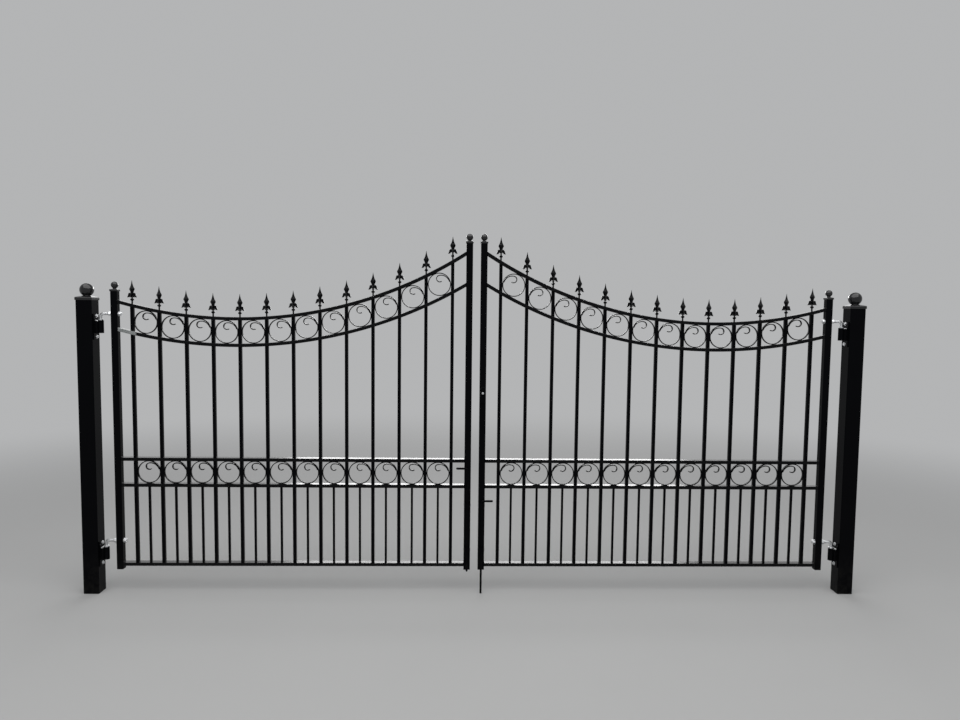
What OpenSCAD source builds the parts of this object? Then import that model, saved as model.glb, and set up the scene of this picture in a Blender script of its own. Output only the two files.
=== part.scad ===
// Double-leaf driveway gate with its two hinge posts.
// Origin: centre of the left post's foot. X runs along the gateway to the right post,
// Y runs away from the side that carries the drop rods, Z is up. Millimetres.

/* [Posts] */
// Outside width of the square post tube
post_w = 90; // [80:1:100]
// Wall thickness of the post tube
post_wall = 4; // [3:0.5:6]
// Height of the square edge of the post caps above the ground
post_top = 1720; // [1700:5:1900]
// Diameter of the ball on a post cap
post_ball_d = 76.2; // [70:0.1:90]

/* [Leaf] */
// Distance between two full-height pickets, centre to centre
pitch = 152.4; // [120:0.1:160]
// Number of full-height pickets in a leaf
bars = 13; // [9:1:13]
// Side of a full-height picket
picket_w = 19.05; // [16:0.05:22]
// Side of a short picket between them
puppy_w = 12.7; // [10:0.1:16]
// Side of the square stile tube
stile_w = 38.1; // [35:0.1:45]
// Wall thickness of the stile tube
stile_wall = 3; // [2:0.5:4]
// Bay from the hinge stile to the first picket, centre to centre
hinge_bay = 97.2; // [90:0.1:120]
// Bay from the last picket to the meeting stile, centre to centre
meet_bay = 97.2; // [80:0.1:120]
// Clear gap between the two meeting stiles
meet_gap = 45.5; // [20:0.5:60]
// Height of the stile feet above the ground
stile_foot = 137; // [120:1:150]

/* [Rails] */
// Height of the flanges of a channel rail
rail_h = 19.05; // [16:0.05:22]
// Thickness of the channel's web and flanges
rail_wall = 3.2; // [2.5:0.1:4]
// Height of the bottom rail's top face
bottom_z = 177; // [170:1:200]
// Height of the lower middle rail's top face
mid_low_z = 645.6; // [600:0.1:700]
// Height between the tops of the rails of a scroll band
band_h = 152.4; // [150:0.1:160]

/* [Arch] */
// Radius of the top rail's sweep
arch_r = 2438.4; // [2300:0.1:2600]
// Height of the lowest point of the top rail
arch_low = 1615; // [1600:1:1640]
// Distance from the meeting stile to the centre of the sweep
arch_in = 1343; // [1300:1:1400]

/* [Scrolls] */
// Thickness of the scroll bar
scroll_t = 5; // [4:0.5:6]
// Width of the scroll bar across the leaf
scroll_d = 12.7; // [10:0.1:16]

/* [Hinges] */
// Diameter of the hinge bolt
bolt_d = 15.9; // [14:0.1:16]
// Distance from the post face to the hinge pin's axis
pin_off = 30; // [30:1:40]
// Distance from the pin's axis to the hinge stile
pin_to_stile = 63; // [60:1:80]
// Height of the hinge box's barrel
box_h = 73; // [60:1:80]
// Diameter of the hinge box's barrel
barrel_d = 31; // [28:0.5:36]
// Height of the middle of the upper hinge box
upper_box_z = 1552; // [1500:1:1560]
// Height of the middle of the lower hinge box
lower_box_z = 230; // [225:1:260]

/* [Drop rods] */
// Diameter of a drop rod
rod_d = 12.7; // [10:0.1:16]
// Length of a drop rod from its handle to its tip
rod_len = 616; // [560:1:640]
// Lift of a drop rod between its two positions
rod_lift = 193; // [150:1:200]
// Height of the handle while the rod is down
rod_down_z = 553; // [550:1:560]

/* [Hidden] */
eps = 0.01;
big_fn = 720;
round_fn = 48;

// The right half is the left half mirrored about the middle of the gateway
pin_x = post_w / 2 + pin_off;
hinge_stile_x = pin_x + pin_to_stile + stile_w / 2;
first_bar_x = hinge_stile_x + hinge_bay;
last_bar_x = first_bar_x + (bars - 1) * pitch;
meet_stile_x = last_bar_x + meet_bay;
span = 2 * meet_stile_x + stile_w + meet_gap;
rail_x0 = hinge_stile_x + stile_w / 2;
rail_x1 = meet_stile_x - stile_w / 2;

// The sweep's centre lies above the leaf
arch_cx = meet_stile_x - arch_in;
arch_cz = arch_low + arch_r;
second_r = arch_r + band_h;
mid_up_z = mid_low_z + band_h;

// Scroll rings fill the square left between pickets and rails
scroll_seat = 0.05;
ring_r = (pitch - picket_w) / 2 - scroll_seat;
ring_z = mid_low_z + ring_r + scroll_seat;
ring_arch_r = arch_r + rail_h + ring_r + scroll_seat;

// Ball caps on posts and stiles
post_cap_w = post_w + 6;
post_skirt = 17;
post_cap_rise = 12;
stile_cap_w = stile_w + 6;
stile_skirt = 11;
stile_cap_rise = 6;
stile_ball_d = 39.6;
cap_plate = 3;
ball_rise = 24.5;
post_ball_rise = 41;
neck_share = 0.5;
meet_cap_z = 2063.6;
hinge_cap_z = 1766;

// Hinge box, its plate and the J-shaped bolt
plate_w = 60;
plate_t = 5;
plate_over = 37;
block_w = 40;
block_out = 14;
block_drop = 4;
pin_short = 6;
thrust_d = 28;
thrust_h = 8;
bend_r = 16;
arm_over = 38;
bore_play = 0.2;
hole_play = 0.6;
nut_af = 24;
nut_t = 13;
washer_d = 28;
washer_t = 2.5;
arm_end = 22;

// Drop rod guides on the front face of the meeting stiles
rod_y = -stile_w / 2 - 10.5;
guide_h = 30;
guide_t = 3;
guide_leg = 3;
guide_top = [542, 276];
rod_bend = 10;
handle_reach = 67;
tip_h = 6;

// Gate lock on the right meeting stile
lock_w = 36;
lock_h = 100;
lock_t = 13;
lock_z = 1178;
lock_core_z = 1190;

// Finial: distance below the tip and half width of the blade, then the outline of one barb
// as distance from the axis and height over the tip
finial_h = 133;
blade = [[0, 0.5], [12, 2.4], [24, 5.2], [34, 8.4], [41, 11.8], [47, 14.8], [52, 15.6], [57, 13.4],
    [63, 10.4], [69, 9], [76, 8.6]];
barb = [[-1, -71.5], [14, -71.5], [17.5, -72.5], [19.6, -75], [20.6, -79], [21.8, -84], [23.8, -90],
    [27, -97.3], [25.5, -98], [20, -97.6], [15.5, -95.8], [12.3, -92.8], [10.2, -89.6], [8.2, -88.8],
    [6.2, -90], [5, -93], [-1, -93]];
barb_t = 8;
knop_z = 110;
knop_d = 21;
knop_h = 12;
stem_d = 9;
stem_top = 74;
stem_end = 8;

coat = [0.05, 0.05, 0.06];
zinc = [0.72, 0.73, 0.74];

function bar_x(k) = first_bar_x + k * pitch;
function gap_x(k) = bar_x(k) + pitch / 2;
// Height of a circle about the sweep's centre, and its slope, at x
function sweep_z(x, r) = arch_cz - sqrt(r * r - (x - arch_cx) * (x - arch_cx));
function sweep_slope(x, r) = (x - arch_cx) / sqrt(r * r - (x - arch_cx) * (x - arch_cx));

// Places the right-hand half
module right_hand() {
    translate([span, 0, 0]) mirror([1, 0, 0]) children();
}

// Square outline with true arcs at its corners
module rounded_square(w, r) {
    square([w, w - 2 * r], center = true);
    square([w - 2 * r, w], center = true);
    for (sx = [-1, 1], sy = [-1, 1])
        translate([sx * (w / 2 - r), sy * (w / 2 - r)]) circle(r, $fn = round_fn);
}

// Square tube standing on z = 0
module tube(w, wall, r, h) {
    linear_extrude(h) difference() {
        rounded_square(w, r);
        rounded_square(w - 2 * wall, max(r - wall, 0.5));
    }
}

// Cap with a square skirt over the tube, a low pyramid and a ball.
// Its square edge is at z = 0.
module ball_cap(w, skirt, rise, tube_w, ball_d, ball_z) {
    difference() {
        translate([0, 0, -skirt]) linear_extrude(skirt) rounded_square(w, 1.5);
        translate([0, 0, -skirt - eps]) linear_extrude(skirt - cap_plate + eps)
            square(tube_w, center = true);
    }
    rotate([0, 0, 45]) cylinder(h = rise, d1 = (w - 1) * sqrt(2), d2 = 8, $fn = 4);
    translate([0, 0, ball_z]) sphere(d = ball_d, $fn = 96);
    cylinder(h = ball_z, d = ball_d * neck_share, $fn = round_fn);
}

// Section of a channel rail, web towards +y of the outline
module channel_outline() {
    difference() {
        translate([-stile_w / 2, -rail_h]) square([stile_w, rail_h]);
        translate([-stile_w / 2 + rail_wall, -rail_h - eps])
            square([stile_w - 2 * rail_wall, rail_h - rail_wall + eps]);
    }
}

// Square holes punched through the webs, for the full and the short pickets
module bar_holes(z, h) {
    for (k = [0 : bars - 1])
        translate([bar_x(k) - picket_w / 2, -picket_w / 2, z]) cube([picket_w, picket_w, h]);
}

module puppy_holes(z, h) {
    for (k = [0 : bars - 2])
        translate([gap_x(k) - puppy_w / 2, -puppy_w / 2, z]) cube([puppy_w, puppy_w, h]);
}

module post() color(coat) {
    tube(post_w, post_wall, 6, post_top - cap_plate);
}

module post_cap() color(coat) {
    translate([0, 0, post_top])
        ball_cap(post_cap_w, post_skirt, post_cap_rise, post_w, post_ball_d, post_ball_rise);
}

// Plate on the post's inner face, a block on it and the bored barrel that takes the hinge pin
module hinge_box(z) color(coat) {
    difference() {
        union() {
            translate([post_w / 2, -plate_w / 2, z - box_h / 2 - plate_over])
                cube([plate_t, plate_w, box_h + 2 * plate_over]);
            translate([post_w / 2, -block_w / 2, z - box_h / 2])
                cube([plate_t + block_out, block_w, box_h - block_drop]);
            translate([pin_x, 0, z - box_h / 2]) cylinder(h = box_h, d = barrel_d, $fn = 96);
        }
        translate([pin_x, 0, z - box_h / 2 - eps])
            cylinder(h = box_h + 2 * eps, d = bolt_d + 2 * bore_play, $fn = round_fn);
    }
}

// J-shaped hinge bolt: pin down into the box, bend, threaded arm through the stile
module hinge_bolt(z) color(zinc) {
    arm_z = z + box_h / 2 + arm_over;
    foot_z = z - box_h / 2 + pin_short;
    translate([pin_x, 0, foot_z]) cylinder(h = arm_z - bend_r - foot_z, d = bolt_d, $fn = round_fn);
    translate([pin_x + bend_r, 0, arm_z - bend_r]) rotate([90, 0, 0]) rotate([0, 0, 90])
        rotate_extrude(angle = 90, $fn = 96) translate([bend_r, 0]) circle(d = bolt_d, $fn = round_fn);
    translate([pin_x + bend_r, 0, arm_z]) rotate([0, 90, 0])
        cylinder(h = rail_x0 + arm_end - pin_x - bend_r, d = bolt_d, $fn = round_fn);
}

module washer(x, z) {
    translate([x, 0, z]) rotate([0, 90, 0]) difference() {
        cylinder(h = washer_t, d = washer_d, $fn = round_fn);
        translate([0, 0, -eps]) cylinder(h = washer_t + 2 * eps, d = bolt_d + 0.2, $fn = round_fn);
    }
}

module nut(x, z) {
    translate([x, 0, z]) rotate([0, 90, 0]) difference() {
        cylinder(h = nut_t, d = nut_af / cos(30), $fn = 6);
        translate([0, 0, -eps]) cylinder(h = nut_t + 2 * eps, d = bolt_d + 0.2, $fn = round_fn);
    }
}

// Nuts and washers that clamp both bolts to the stile, and the thrust rings on the boxes
module hinge_nuts() color(zinc) {
    for (z = [upper_box_z, lower_box_z]) {
        arm_z = z + box_h / 2 + arm_over;
        washer(rail_x0, arm_z);
        nut(rail_x0 + washer_t, arm_z);
        washer(rail_x0 - stile_w - washer_t, arm_z);
        nut(rail_x0 - stile_w - washer_t - nut_t, arm_z);
        translate([pin_x, 0, z + box_h / 2 + bore_play]) difference() {
            cylinder(h = thrust_h, d = thrust_d, $fn = round_fn);
            translate([0, 0, -eps]) cylinder(h = thrust_h + 2 * eps, d = bolt_d + 0.2, $fn = round_fn);
        }
    }
}

module hinge_stile() color(coat) {
    difference() {
        translate([hinge_stile_x, 0, stile_foot])
            tube(stile_w, stile_wall, 4, hinge_cap_z - cap_plate - stile_foot);
        for (z = [upper_box_z, lower_box_z])
            translate([hinge_stile_x - stile_w, 0, z + box_h / 2 + arm_over]) rotate([0, 90, 0])
                cylinder(h = 2 * stile_w, d = bolt_d + hole_play, $fn = round_fn);
    }
}

module meeting_stile() color(coat) {
    translate([meet_stile_x, 0, stile_foot])
        tube(stile_w, stile_wall, 4, meet_cap_z - cap_plate - stile_foot);
}

module stile_caps() color(coat) {
    for (p = [[hinge_stile_x, hinge_cap_z], [meet_stile_x, meet_cap_z]])
        translate([p[0], 0, p[1]])
            ball_cap(stile_cap_w, stile_skirt, stile_cap_rise, stile_w, stile_ball_d, ball_rise);
}

// Rail swept round the arch's centre, cut off at the stiles, punched for the pickets
module arch_rail(r) color(coat) {
    a0 = asin((arch_cx - rail_x0) / r) + 1;
    a1 = asin((rail_x1 - arch_cx) / r) + 1;
    difference() {
        intersection() {
            translate([arch_cx, 0, arch_cz]) rotate([90, 0, 0]) rotate([0, 0, -90 - a0])
                rotate_extrude(angle = a0 + a1, $fn = big_fn)
                    rotate([0, 0, 90]) translate([0, -r]) mirror([0, 0, 1]) channel_outline();
            translate([rail_x0, -stile_w, arch_low - 400])
                cube([rail_x1 - rail_x0, 2 * stile_w, 1000]);
        }
        bar_holes(arch_low - 400, r == arch_r ? eps : 1000);
    }
}

module top_rail() arch_rail(arch_r);
module second_rail() arch_rail(second_r);

module straight_rail(z) {
    translate([rail_x0, 0, z]) rotate([90, 0, 90]) linear_extrude(rail_x1 - rail_x0) channel_outline();
}

module upper_mid_rail() color(coat) {
    difference() {
        straight_rail(mid_up_z);
        bar_holes(mid_up_z - rail_h, 2 * rail_h);
    }
}

module lower_mid_rail() color(coat) {
    difference() {
        straight_rail(mid_low_z);
        bar_holes(mid_low_z - rail_h, 2 * rail_h);
    }
}

module bottom_rail() color(coat) {
    difference() {
        straight_rail(bottom_z);
        bar_holes(bottom_z - rail_h, 2 * rail_h);
        puppy_holes(bottom_z - rail_h, 2 * rail_h);
    }
}

// Full-height pickets: square bars whose tops are cut to the slope under the top rail
module pickets() color(coat) {
    r = arch_r + rail_wall;
    half = picket_w / 2;
    for (k = [0 : bars - 1]) {
        top = sweep_z(bar_x(k), r);
        lift = half * sweep_slope(bar_x(k), r);
        translate([bar_x(k), half, 0]) rotate([90, 0, 0]) linear_extrude(picket_w) polygon([
            [-half, bottom_z - rail_h], [half, bottom_z - rail_h], [half, top + lift], [-half, top - lift]
        ]);
    }
}

module puppy_pickets() color(coat) {
    for (k = [0 : bars - 2])
        translate([gap_x(k) - puppy_w / 2, -puppy_w / 2, bottom_z - rail_h])
            cube([puppy_w, puppy_w, mid_low_z - rail_wall - bottom_z + rail_h]);
}

// Outline of a bar of thickness t bent to a full circle of centre-line radius r
module bar_ring(r, t) {
    difference() {
        circle(r + t / 2, $fn = 144);
        circle(r - t / 2, $fn = 144);
    }
}

// The same bar bent to an arc only, from angle a over a sweep
module bent_bar(r, a, sweep, t) {
    far = 2 * r + t;
    intersection() {
        bar_ring(r, t);
        polygon(concat([[0, 0]], [for (i = [0 : 4]) far * [cos(a + sweep * i / 4), sin(a + sweep * i / 4)]]));
    }
}

// Ring whose bar laps inside itself, runs over the top and curls down to a hook.
// The lap starts at lap_a on the ring. Both arcs are tangent where they meet, and the
// curl's bar is a shade thicker there, so that it takes in the end of the lap.
module scroll() {
    lap_a = 15;
    lap_off = 10;
    turn_a = 104;
    curl_r = 18.8;
    curl_sweep = 204;
    curl_swell = 0.4;
    weld_a = 3;
    weld_in = 0.6;
    r0 = ring_r - scroll_t / 2;
    r1 = r0 - scroll_t + weld_in - lap_off;
    c1 = lap_off * [cos(lap_a), sin(lap_a)];
    c2 = c1 + (r1 - curl_r) * [cos(turn_a), sin(turn_a)];
    rotate([90, 0, 0]) linear_extrude(scroll_d, center = true) {
        bar_ring(r0, scroll_t);
        translate(c1) bent_bar(r1, lap_a, turn_a - lap_a, scroll_t);
        translate(c2) bent_bar(curl_r, turn_a - weld_a, curl_sweep + weld_a, scroll_t + curl_swell);
    }
}

module arch_scrolls() color(coat) {
    for (k = [0 : bars - 2])
        translate([gap_x(k), 0, sweep_z(gap_x(k), ring_arch_r)]) scroll();
}

module mid_scrolls() color(coat) {
    for (k = [0 : bars - 2])
        translate([gap_x(k), 0, ring_z]) scroll();
}

// Four-sided spear blade, lofted down from its tip through the rows of the blade list
module spear_blade() {
    n = len(blade);
    points = [for (row = blade) each [
        [row[1], 0, -row[0]], [0, row[1], -row[0]], [-row[1], 0, -row[0]], [0, -row[1], -row[0]]
    ]];
    sides = [for (i = [0 : n - 2], j = [0 : 3])
        [4 * i + j, 4 * i + (j + 1) % 4, 4 * i + 4 + (j + 1) % 4, 4 * i + 4 + j]];
    polyhedron(points, concat([[3, 2, 1, 0]], sides, [[4 * n - 4, 4 * n - 3, 4 * n - 2, 4 * n - 1]]));
}

// Two drooping barbs, one on each side of the axis
module barb_pair() {
    translate([0, barb_t / 2, 0]) rotate([90, 0, 0]) linear_extrude(barb_t) {
        polygon(barb);
        mirror([1, 0]) polygon(barb);
    }
}

// Flattened ball on the stem
module knop() {
    rotate_extrude($fn = 96) intersection() {
        translate([(knop_d - knop_h) / 2, 0]) circle(d = knop_h, $fn = round_fn);
        translate([0, -knop_h / 2]) square([knop_d / 2, knop_h]);
    }
}

module finial() {
    spear_blade();
    barb_pair();
    rotate([0, 0, 90]) barb_pair();
    translate([0, 0, -knop_z]) knop();
    translate([0, 0, -finial_h - stem_end])
        cylinder(h = finial_h + stem_end - stem_top, d = stem_d, $fn = round_fn);
}

// Finials stand on the top rail over each picket, their stems cut to its sweep
module finials() color(coat) {
    for (k = [0 : bars - 1]) {
        rail_z = sweep_z(bar_x(k), arch_r);
        intersection() {
            translate([bar_x(k), 0, rail_z + finial_h]) finial();
            translate([arch_cx, 30, arch_cz]) rotate([90, 0, 0]) cylinder(h = 60, r = arch_r, $fn = big_fn);
        }
    }
}

// Half-round strap on two short legs, filled, running on past the stile's front at y = 0
module strap_outline(r) {
    translate([0, -guide_leg]) circle(r, $fn = 96);
    translate([-r, -guide_leg]) square([2 * r, 2 * guide_leg]);
}

// Two strap guides on the front of the meeting stile, open round the drop rod
module rod_guides() color(coat) {
    outer_r = stile_w / 2;
    for (top = guide_top)
        translate([meet_stile_x, -stile_w / 2, top - guide_h]) linear_extrude(guide_h) difference() {
            strap_outline(outer_r);
            strap_outline(outer_r - guide_t);
            translate([-2 * outer_r, 0]) square(4 * outer_r);
        }
}

// Drop rod with a handle bent towards the pickets, raised by lift
module drop_rod(lift) color(coat) {
    handle_z = rod_down_z + lift;
    tip_z = handle_z - rod_len;
    translate([meet_stile_x, rod_y, 0]) {
        translate([0, 0, tip_z]) cylinder(h = tip_h, d1 = rod_d - 5, d2 = rod_d, $fn = round_fn);
        translate([0, 0, tip_z + tip_h])
            cylinder(h = rod_len - rod_bend - tip_h, d = rod_d, $fn = round_fn);
        translate([-rod_bend, 0, handle_z - rod_bend]) rotate([90, 0, 0])
            rotate_extrude(angle = 90, $fn = 96) translate([rod_bend, 0]) circle(d = rod_d, $fn = round_fn);
        translate([-handle_reach + rod_d / 2, 0, handle_z]) rotate([0, 90, 0])
            cylinder(h = handle_reach - rod_d / 2 - rod_bend, d = rod_d, $fn = round_fn);
        translate([-handle_reach + rod_d / 2, 0, handle_z]) sphere(d = rod_d, $fn = round_fn);
    }
}

// Surface lock: slab with round ends, a round rose and the key cylinder
module lock() color(coat) {
    translate([meet_stile_x, -stile_w / 2, 0]) rotate([90, 0, 0]) {
        linear_extrude(lock_t) {
            translate([-lock_w / 2, lock_z - lock_h / 2 + lock_w / 2]) square([lock_w, lock_h - lock_w]);
            for (s = [-1, 1])
                translate([0, lock_z + s * (lock_h - lock_w) / 2]) circle(d = lock_w, $fn = 96);
        }
        translate([0, lock_core_z, 0]) cylinder(h = lock_t + 5, d = 30, $fn = 96);
        translate([0, lock_core_z, 0]) cylinder(h = lock_t + 8, d = 13, $fn = round_fn);
    }
}

post();  // left_post
post_cap();  // left_post_cap
hinge_box(upper_box_z);  // left_upper_hinge_box
hinge_box(lower_box_z);  // left_lower_hinge_box
hinge_stile();  // left_hinge_stile
meeting_stile();  // left_meeting_stile
stile_caps();  // left_stile_caps
top_rail();  // left_top_rail
second_rail();  // left_second_rail
upper_mid_rail();  // left_upper_mid_rail
lower_mid_rail();  // left_lower_mid_rail
bottom_rail();  // left_bottom_rail
pickets();  // left_pickets
puppy_pickets();  // left_puppy_pickets
finials();  // left_finials
arch_scrolls();  // left_arch_scrolls
mid_scrolls();  // left_mid_scrolls
hinge_bolt(upper_box_z);  // left_upper_hinge_bolt
hinge_bolt(lower_box_z);  // left_lower_hinge_bolt
hinge_nuts();  // left_hinge_nuts
rod_guides();  // left_rod_guides
drop_rod(rod_lift);  // left_drop_rod
right_hand() post();  // right_post
right_hand() post_cap();  // right_post_cap
right_hand() hinge_box(upper_box_z);  // right_upper_hinge_box
right_hand() hinge_box(lower_box_z);  // right_lower_hinge_box
right_hand() hinge_stile();  // right_hinge_stile
right_hand() meeting_stile();  // right_meeting_stile
right_hand() stile_caps();  // right_stile_caps
right_hand() top_rail();  // right_top_rail
right_hand() second_rail();  // right_second_rail
right_hand() upper_mid_rail();  // right_upper_mid_rail
right_hand() lower_mid_rail();  // right_lower_mid_rail
right_hand() bottom_rail();  // right_bottom_rail
right_hand() pickets();  // right_pickets
right_hand() puppy_pickets();  // right_puppy_pickets
right_hand() finials();  // right_finials
right_hand() arch_scrolls();  // right_arch_scrolls
right_hand() mid_scrolls();  // right_mid_scrolls
right_hand() hinge_bolt(upper_box_z);  // right_upper_hinge_bolt
right_hand() hinge_bolt(lower_box_z);  // right_lower_hinge_bolt
right_hand() hinge_nuts();  // right_hinge_nuts
right_hand() rod_guides();  // right_rod_guides
right_hand() drop_rod(0);  // right_drop_rod
right_hand() lock();  // right_lock
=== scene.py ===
"""Looks of a double-leaf driveway gate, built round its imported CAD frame.

Every piece is drawn in millimetres on the left-hand half of the gateway, in the frame's axes: X runs
along the gateway, Y away from the side that carries the drop rods, Z is up. The right-hand half is
the same drawing, mirrored about the middle of the gateway.
"""

import cmath
import logging
import math
from dataclasses import dataclass, field
from enum import Enum
from typing import Iterable, Sequence

import bmesh
import bpy
from mathutils import Matrix, Vector


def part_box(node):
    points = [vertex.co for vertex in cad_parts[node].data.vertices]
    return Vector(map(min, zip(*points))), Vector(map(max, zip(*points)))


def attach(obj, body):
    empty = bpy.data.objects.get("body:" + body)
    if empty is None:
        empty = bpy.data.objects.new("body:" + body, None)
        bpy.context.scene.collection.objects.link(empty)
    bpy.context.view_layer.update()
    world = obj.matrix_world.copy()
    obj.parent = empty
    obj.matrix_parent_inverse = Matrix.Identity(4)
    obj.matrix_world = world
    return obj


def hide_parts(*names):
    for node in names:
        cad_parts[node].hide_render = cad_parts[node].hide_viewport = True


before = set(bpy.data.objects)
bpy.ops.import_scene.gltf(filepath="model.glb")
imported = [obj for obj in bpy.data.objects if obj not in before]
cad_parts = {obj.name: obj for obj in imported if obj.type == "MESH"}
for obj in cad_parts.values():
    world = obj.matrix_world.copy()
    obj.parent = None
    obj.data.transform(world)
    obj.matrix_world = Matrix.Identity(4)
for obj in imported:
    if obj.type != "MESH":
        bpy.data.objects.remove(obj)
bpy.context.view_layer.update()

LOG = logging.getLogger("gate")
MM = 0.001
X = Vector((1, 0, 0))
Y = Vector((0, 1, 0))
Z = Vector((0, 0, 1))

Outline = list[complex]
Ring = list[Vector]
Level = tuple[float, Outline]
Colour = tuple[float, float, float]
Spot = tuple[float, float, float]
Socket = bpy.types.NodeSocket


# Places on the gate


class Side(Enum):
    """Half of the gateway."""

    LEFT = "left"
    RIGHT = "right"

    def node(self, name: str) -> str:
        """Returns the name that a node or body has on this side."""
        return f"{self.value}_{name}"


class Hinge(Enum):
    """One of a leaf's two hinges."""

    UPPER = "upper_hinge"
    LOWER = "lower_hinge"


def box_mm(node: str) -> tuple[Vector, Vector]:
    """Returns the lowest and the highest corner of a CAD node, in millimetres."""
    low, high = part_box(node)
    return low / MM, high / MM


@dataclass(frozen=True)
class Layout:
    """Main positions of the left half, in millimetres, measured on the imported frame."""

    span: float
    hinge_x: float
    meet_x: float
    stile_w: float
    bars: tuple[float, ...]
    gaps: tuple[float, ...]

    @classmethod
    def measured(cls, bar_count: int = 13) -> "Layout":
        """Reads the positions from the CAD nodes' boxes.

        Args:
            bar_count: Number of full-height pickets in a leaf.

        Returns:
            The layout of the left half.
        """
        hinge = box_mm("left_hinge_stile")
        meet = box_mm("left_meeting_stile")
        far_post = box_mm("right_post")
        pickets = box_mm("left_pickets")
        width = pickets[1].y - pickets[0].y
        first = pickets[0].x + width / 2
        pitch = (pickets[1].x - pickets[0].x - width) / (bar_count - 1)
        bars = tuple(first + k * pitch for k in range(bar_count))
        return cls(
            span=(far_post[0].x + far_post[1].x) / 2,
            hinge_x=(hinge[0].x + hinge[1].x) / 2,
            meet_x=(meet[0].x + meet[1].x) / 2,
            stile_w=meet[1].x - meet[0].x,
            bars=bars,
            gaps=tuple(x + pitch / 2 for x in bars[:-1]),
        )

    @property
    def rail_start(self) -> float:
        """Where the rails leave the hinge stile."""
        return self.hinge_x + self.stile_w / 2

    @property
    def rail_end(self) -> float:
        """Where the rails meet the meeting stile."""
        return self.meet_x - self.stile_w / 2


@dataclass(frozen=True)
class Half:
    """One half of the gateway: its side and the layout that it mirrors."""

    side: Side
    layout: Layout

    def place(self, point: Vector) -> Vector:
        """Returns a point of the left-hand drawing in its place on this side, in metres."""
        x = point.x if self.side is Side.LEFT else self.layout.span - point.x
        return Vector((x, point.y, point.z)) * MM

    def heights(self, node: str) -> tuple[float, float]:
        """Returns the heights of a CAD node's foot and top on this side, in millimetres."""
        low, high = box_mm(self.side.node(node))
        return low.z, high.z

    @property
    def leaf(self) -> str:
        """Body of this half's leaf."""
        return self.side.node("leaf")

    @property
    def rod(self) -> str:
        """Body of this half's drop rod."""
        return self.side.node("drop_rod")


@dataclass(frozen=True)
class Sweep:
    """The circles that the arched rails follow, about one centre above the leaf."""

    layout: Layout
    radius: float = 2438.4
    low: float = 1615.0
    inset: float = 1343.0

    @property
    def centre_x(self) -> float:
        """Where the sweep is lowest."""
        return self.layout.meet_x - self.inset

    def height(self, x: float, below: float = 0.0) -> float:
        """Returns the height of the circle that runs so far below the top rail's top face."""
        radius = self.radius + below
        return self.low + self.radius - math.sqrt(radius**2 - (x - self.centre_x) ** 2)

    def slope(self, x: float, below: float = 0.0) -> float:
        """Returns the angle that the same circle rises at, in radians."""
        return math.asin((x - self.centre_x) / (self.radius + below))


# Outlines


def circle(radius: float, steps: int = 48) -> Outline:
    """Returns a round outline."""
    return [cmath.rect(radius, math.tau * i / steps) for i in range(steps)]


def rounded(corners: Sequence[tuple[float, float, float]], steps: int = 4) -> Outline:
    """Rounds the corners of a polygon.

    Args:
        corners: x, y and radius of each corner, in order.
        steps: Number of spans in each corner's arc.

    Returns:
        The outline, with steps + 1 points at each corner.
    """
    outline = []
    for i, (x, y, radius) in enumerate(corners):
        here = complex(x, y)
        before = complex(*corners[i - 1][:2]) - here
        after = complex(*corners[(i + 1) % len(corners)][:2]) - here
        before, after = before / abs(before), after / abs(after)
        half = abs(cmath.phase(after / before)) / 2
        centre = here + (before + after) / abs(before + after) * radius / math.sin(half)
        start = here + before * radius / math.tan(half) - centre
        turn = cmath.phase((here + after * radius / math.tan(half) - centre) / start)
        outline += [centre + start * cmath.exp(1j * turn * k / steps) for k in range(steps + 1)]
    return outline


def rounded_rect(width: float, depth: float, radius: float, steps: int = 3) -> Outline:
    """Returns a rectangle about the origin with rounded corners."""
    w, d = width / 2, depth / 2
    return rounded([(-w, -d, radius), (w, -d, radius), (w, d, radius), (-w, d, radius)], steps)


def channel(width: float, height: float, wall: float) -> Outline:
    """Draws a rail's channel section: web on top at y = 0, flanges down, edges eased.

    Args:
        width: Width over the flanges.
        height: Height of the flanges.
        wall: Thickness of the web and the flanges.

    Returns:
        The section.
    """
    side, inner = width / 2, width / 2 - wall
    shoulder, tip, fillet = 2.6, 0.9, 2.2
    return rounded([
        (side, 0, shoulder), (-side, 0, shoulder), (-side, -height, tip), (-inner, -height, tip),
        (-inner, -wall, fillet), (inner, -wall, fillet), (inner, -height, tip), (side, -height, tip),
    ], 3)


def stadium(width: float, height: float, inset: float, steps: int = 24) -> Outline:
    """Draws an upright slab outline with round ends.

    Args:
        width: Width of the slab.
        height: Height over both ends.
        inset: How far the outline is drawn in.
        steps: Number of spans in each end.

    Returns:
        The outline.
    """
    radius = width / 2 - inset
    lift = (height - width) / 2
    top = [complex(0, lift) + cmath.rect(radius, math.pi * k / steps) for k in range(steps + 1)]
    return top + [-p for p in top]


def hexagon(flats: float, limit: float, steps: int = 48) -> Outline:
    """Draws a hexagon whose corners are turned down to a circle.

    Args:
        flats: Width across the flats.
        limit: Radius that the corners are cut back to.
        steps: Number of points.

    Returns:
        The outline.
    """
    outline = []
    for i in range(steps):
        angle = math.tau * i / steps
        off = (angle % (math.pi / 3)) - math.pi / 6
        outline.append(cmath.rect(min(flats / 2 / math.cos(off), limit), angle))
    return outline


def key_slot(width: float, length: float, steps: int = 48) -> Outline:
    """Draws a key slot whose points lie at even angles, so that it joins to a circle.

    Args:
        width: Width of the slot.
        length: Height of the slot.
        steps: Number of points.

    Returns:
        The outline.
    """
    outline = []
    for i in range(steps):
        angle = math.tau * i / steps
        across = width / 2 / max(abs(math.cos(angle)), 1e-6)
        along = length / 2 / max(abs(math.sin(angle)), 1e-6)
        outline.append(cmath.rect(min(across, along), angle))
    return outline


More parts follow.
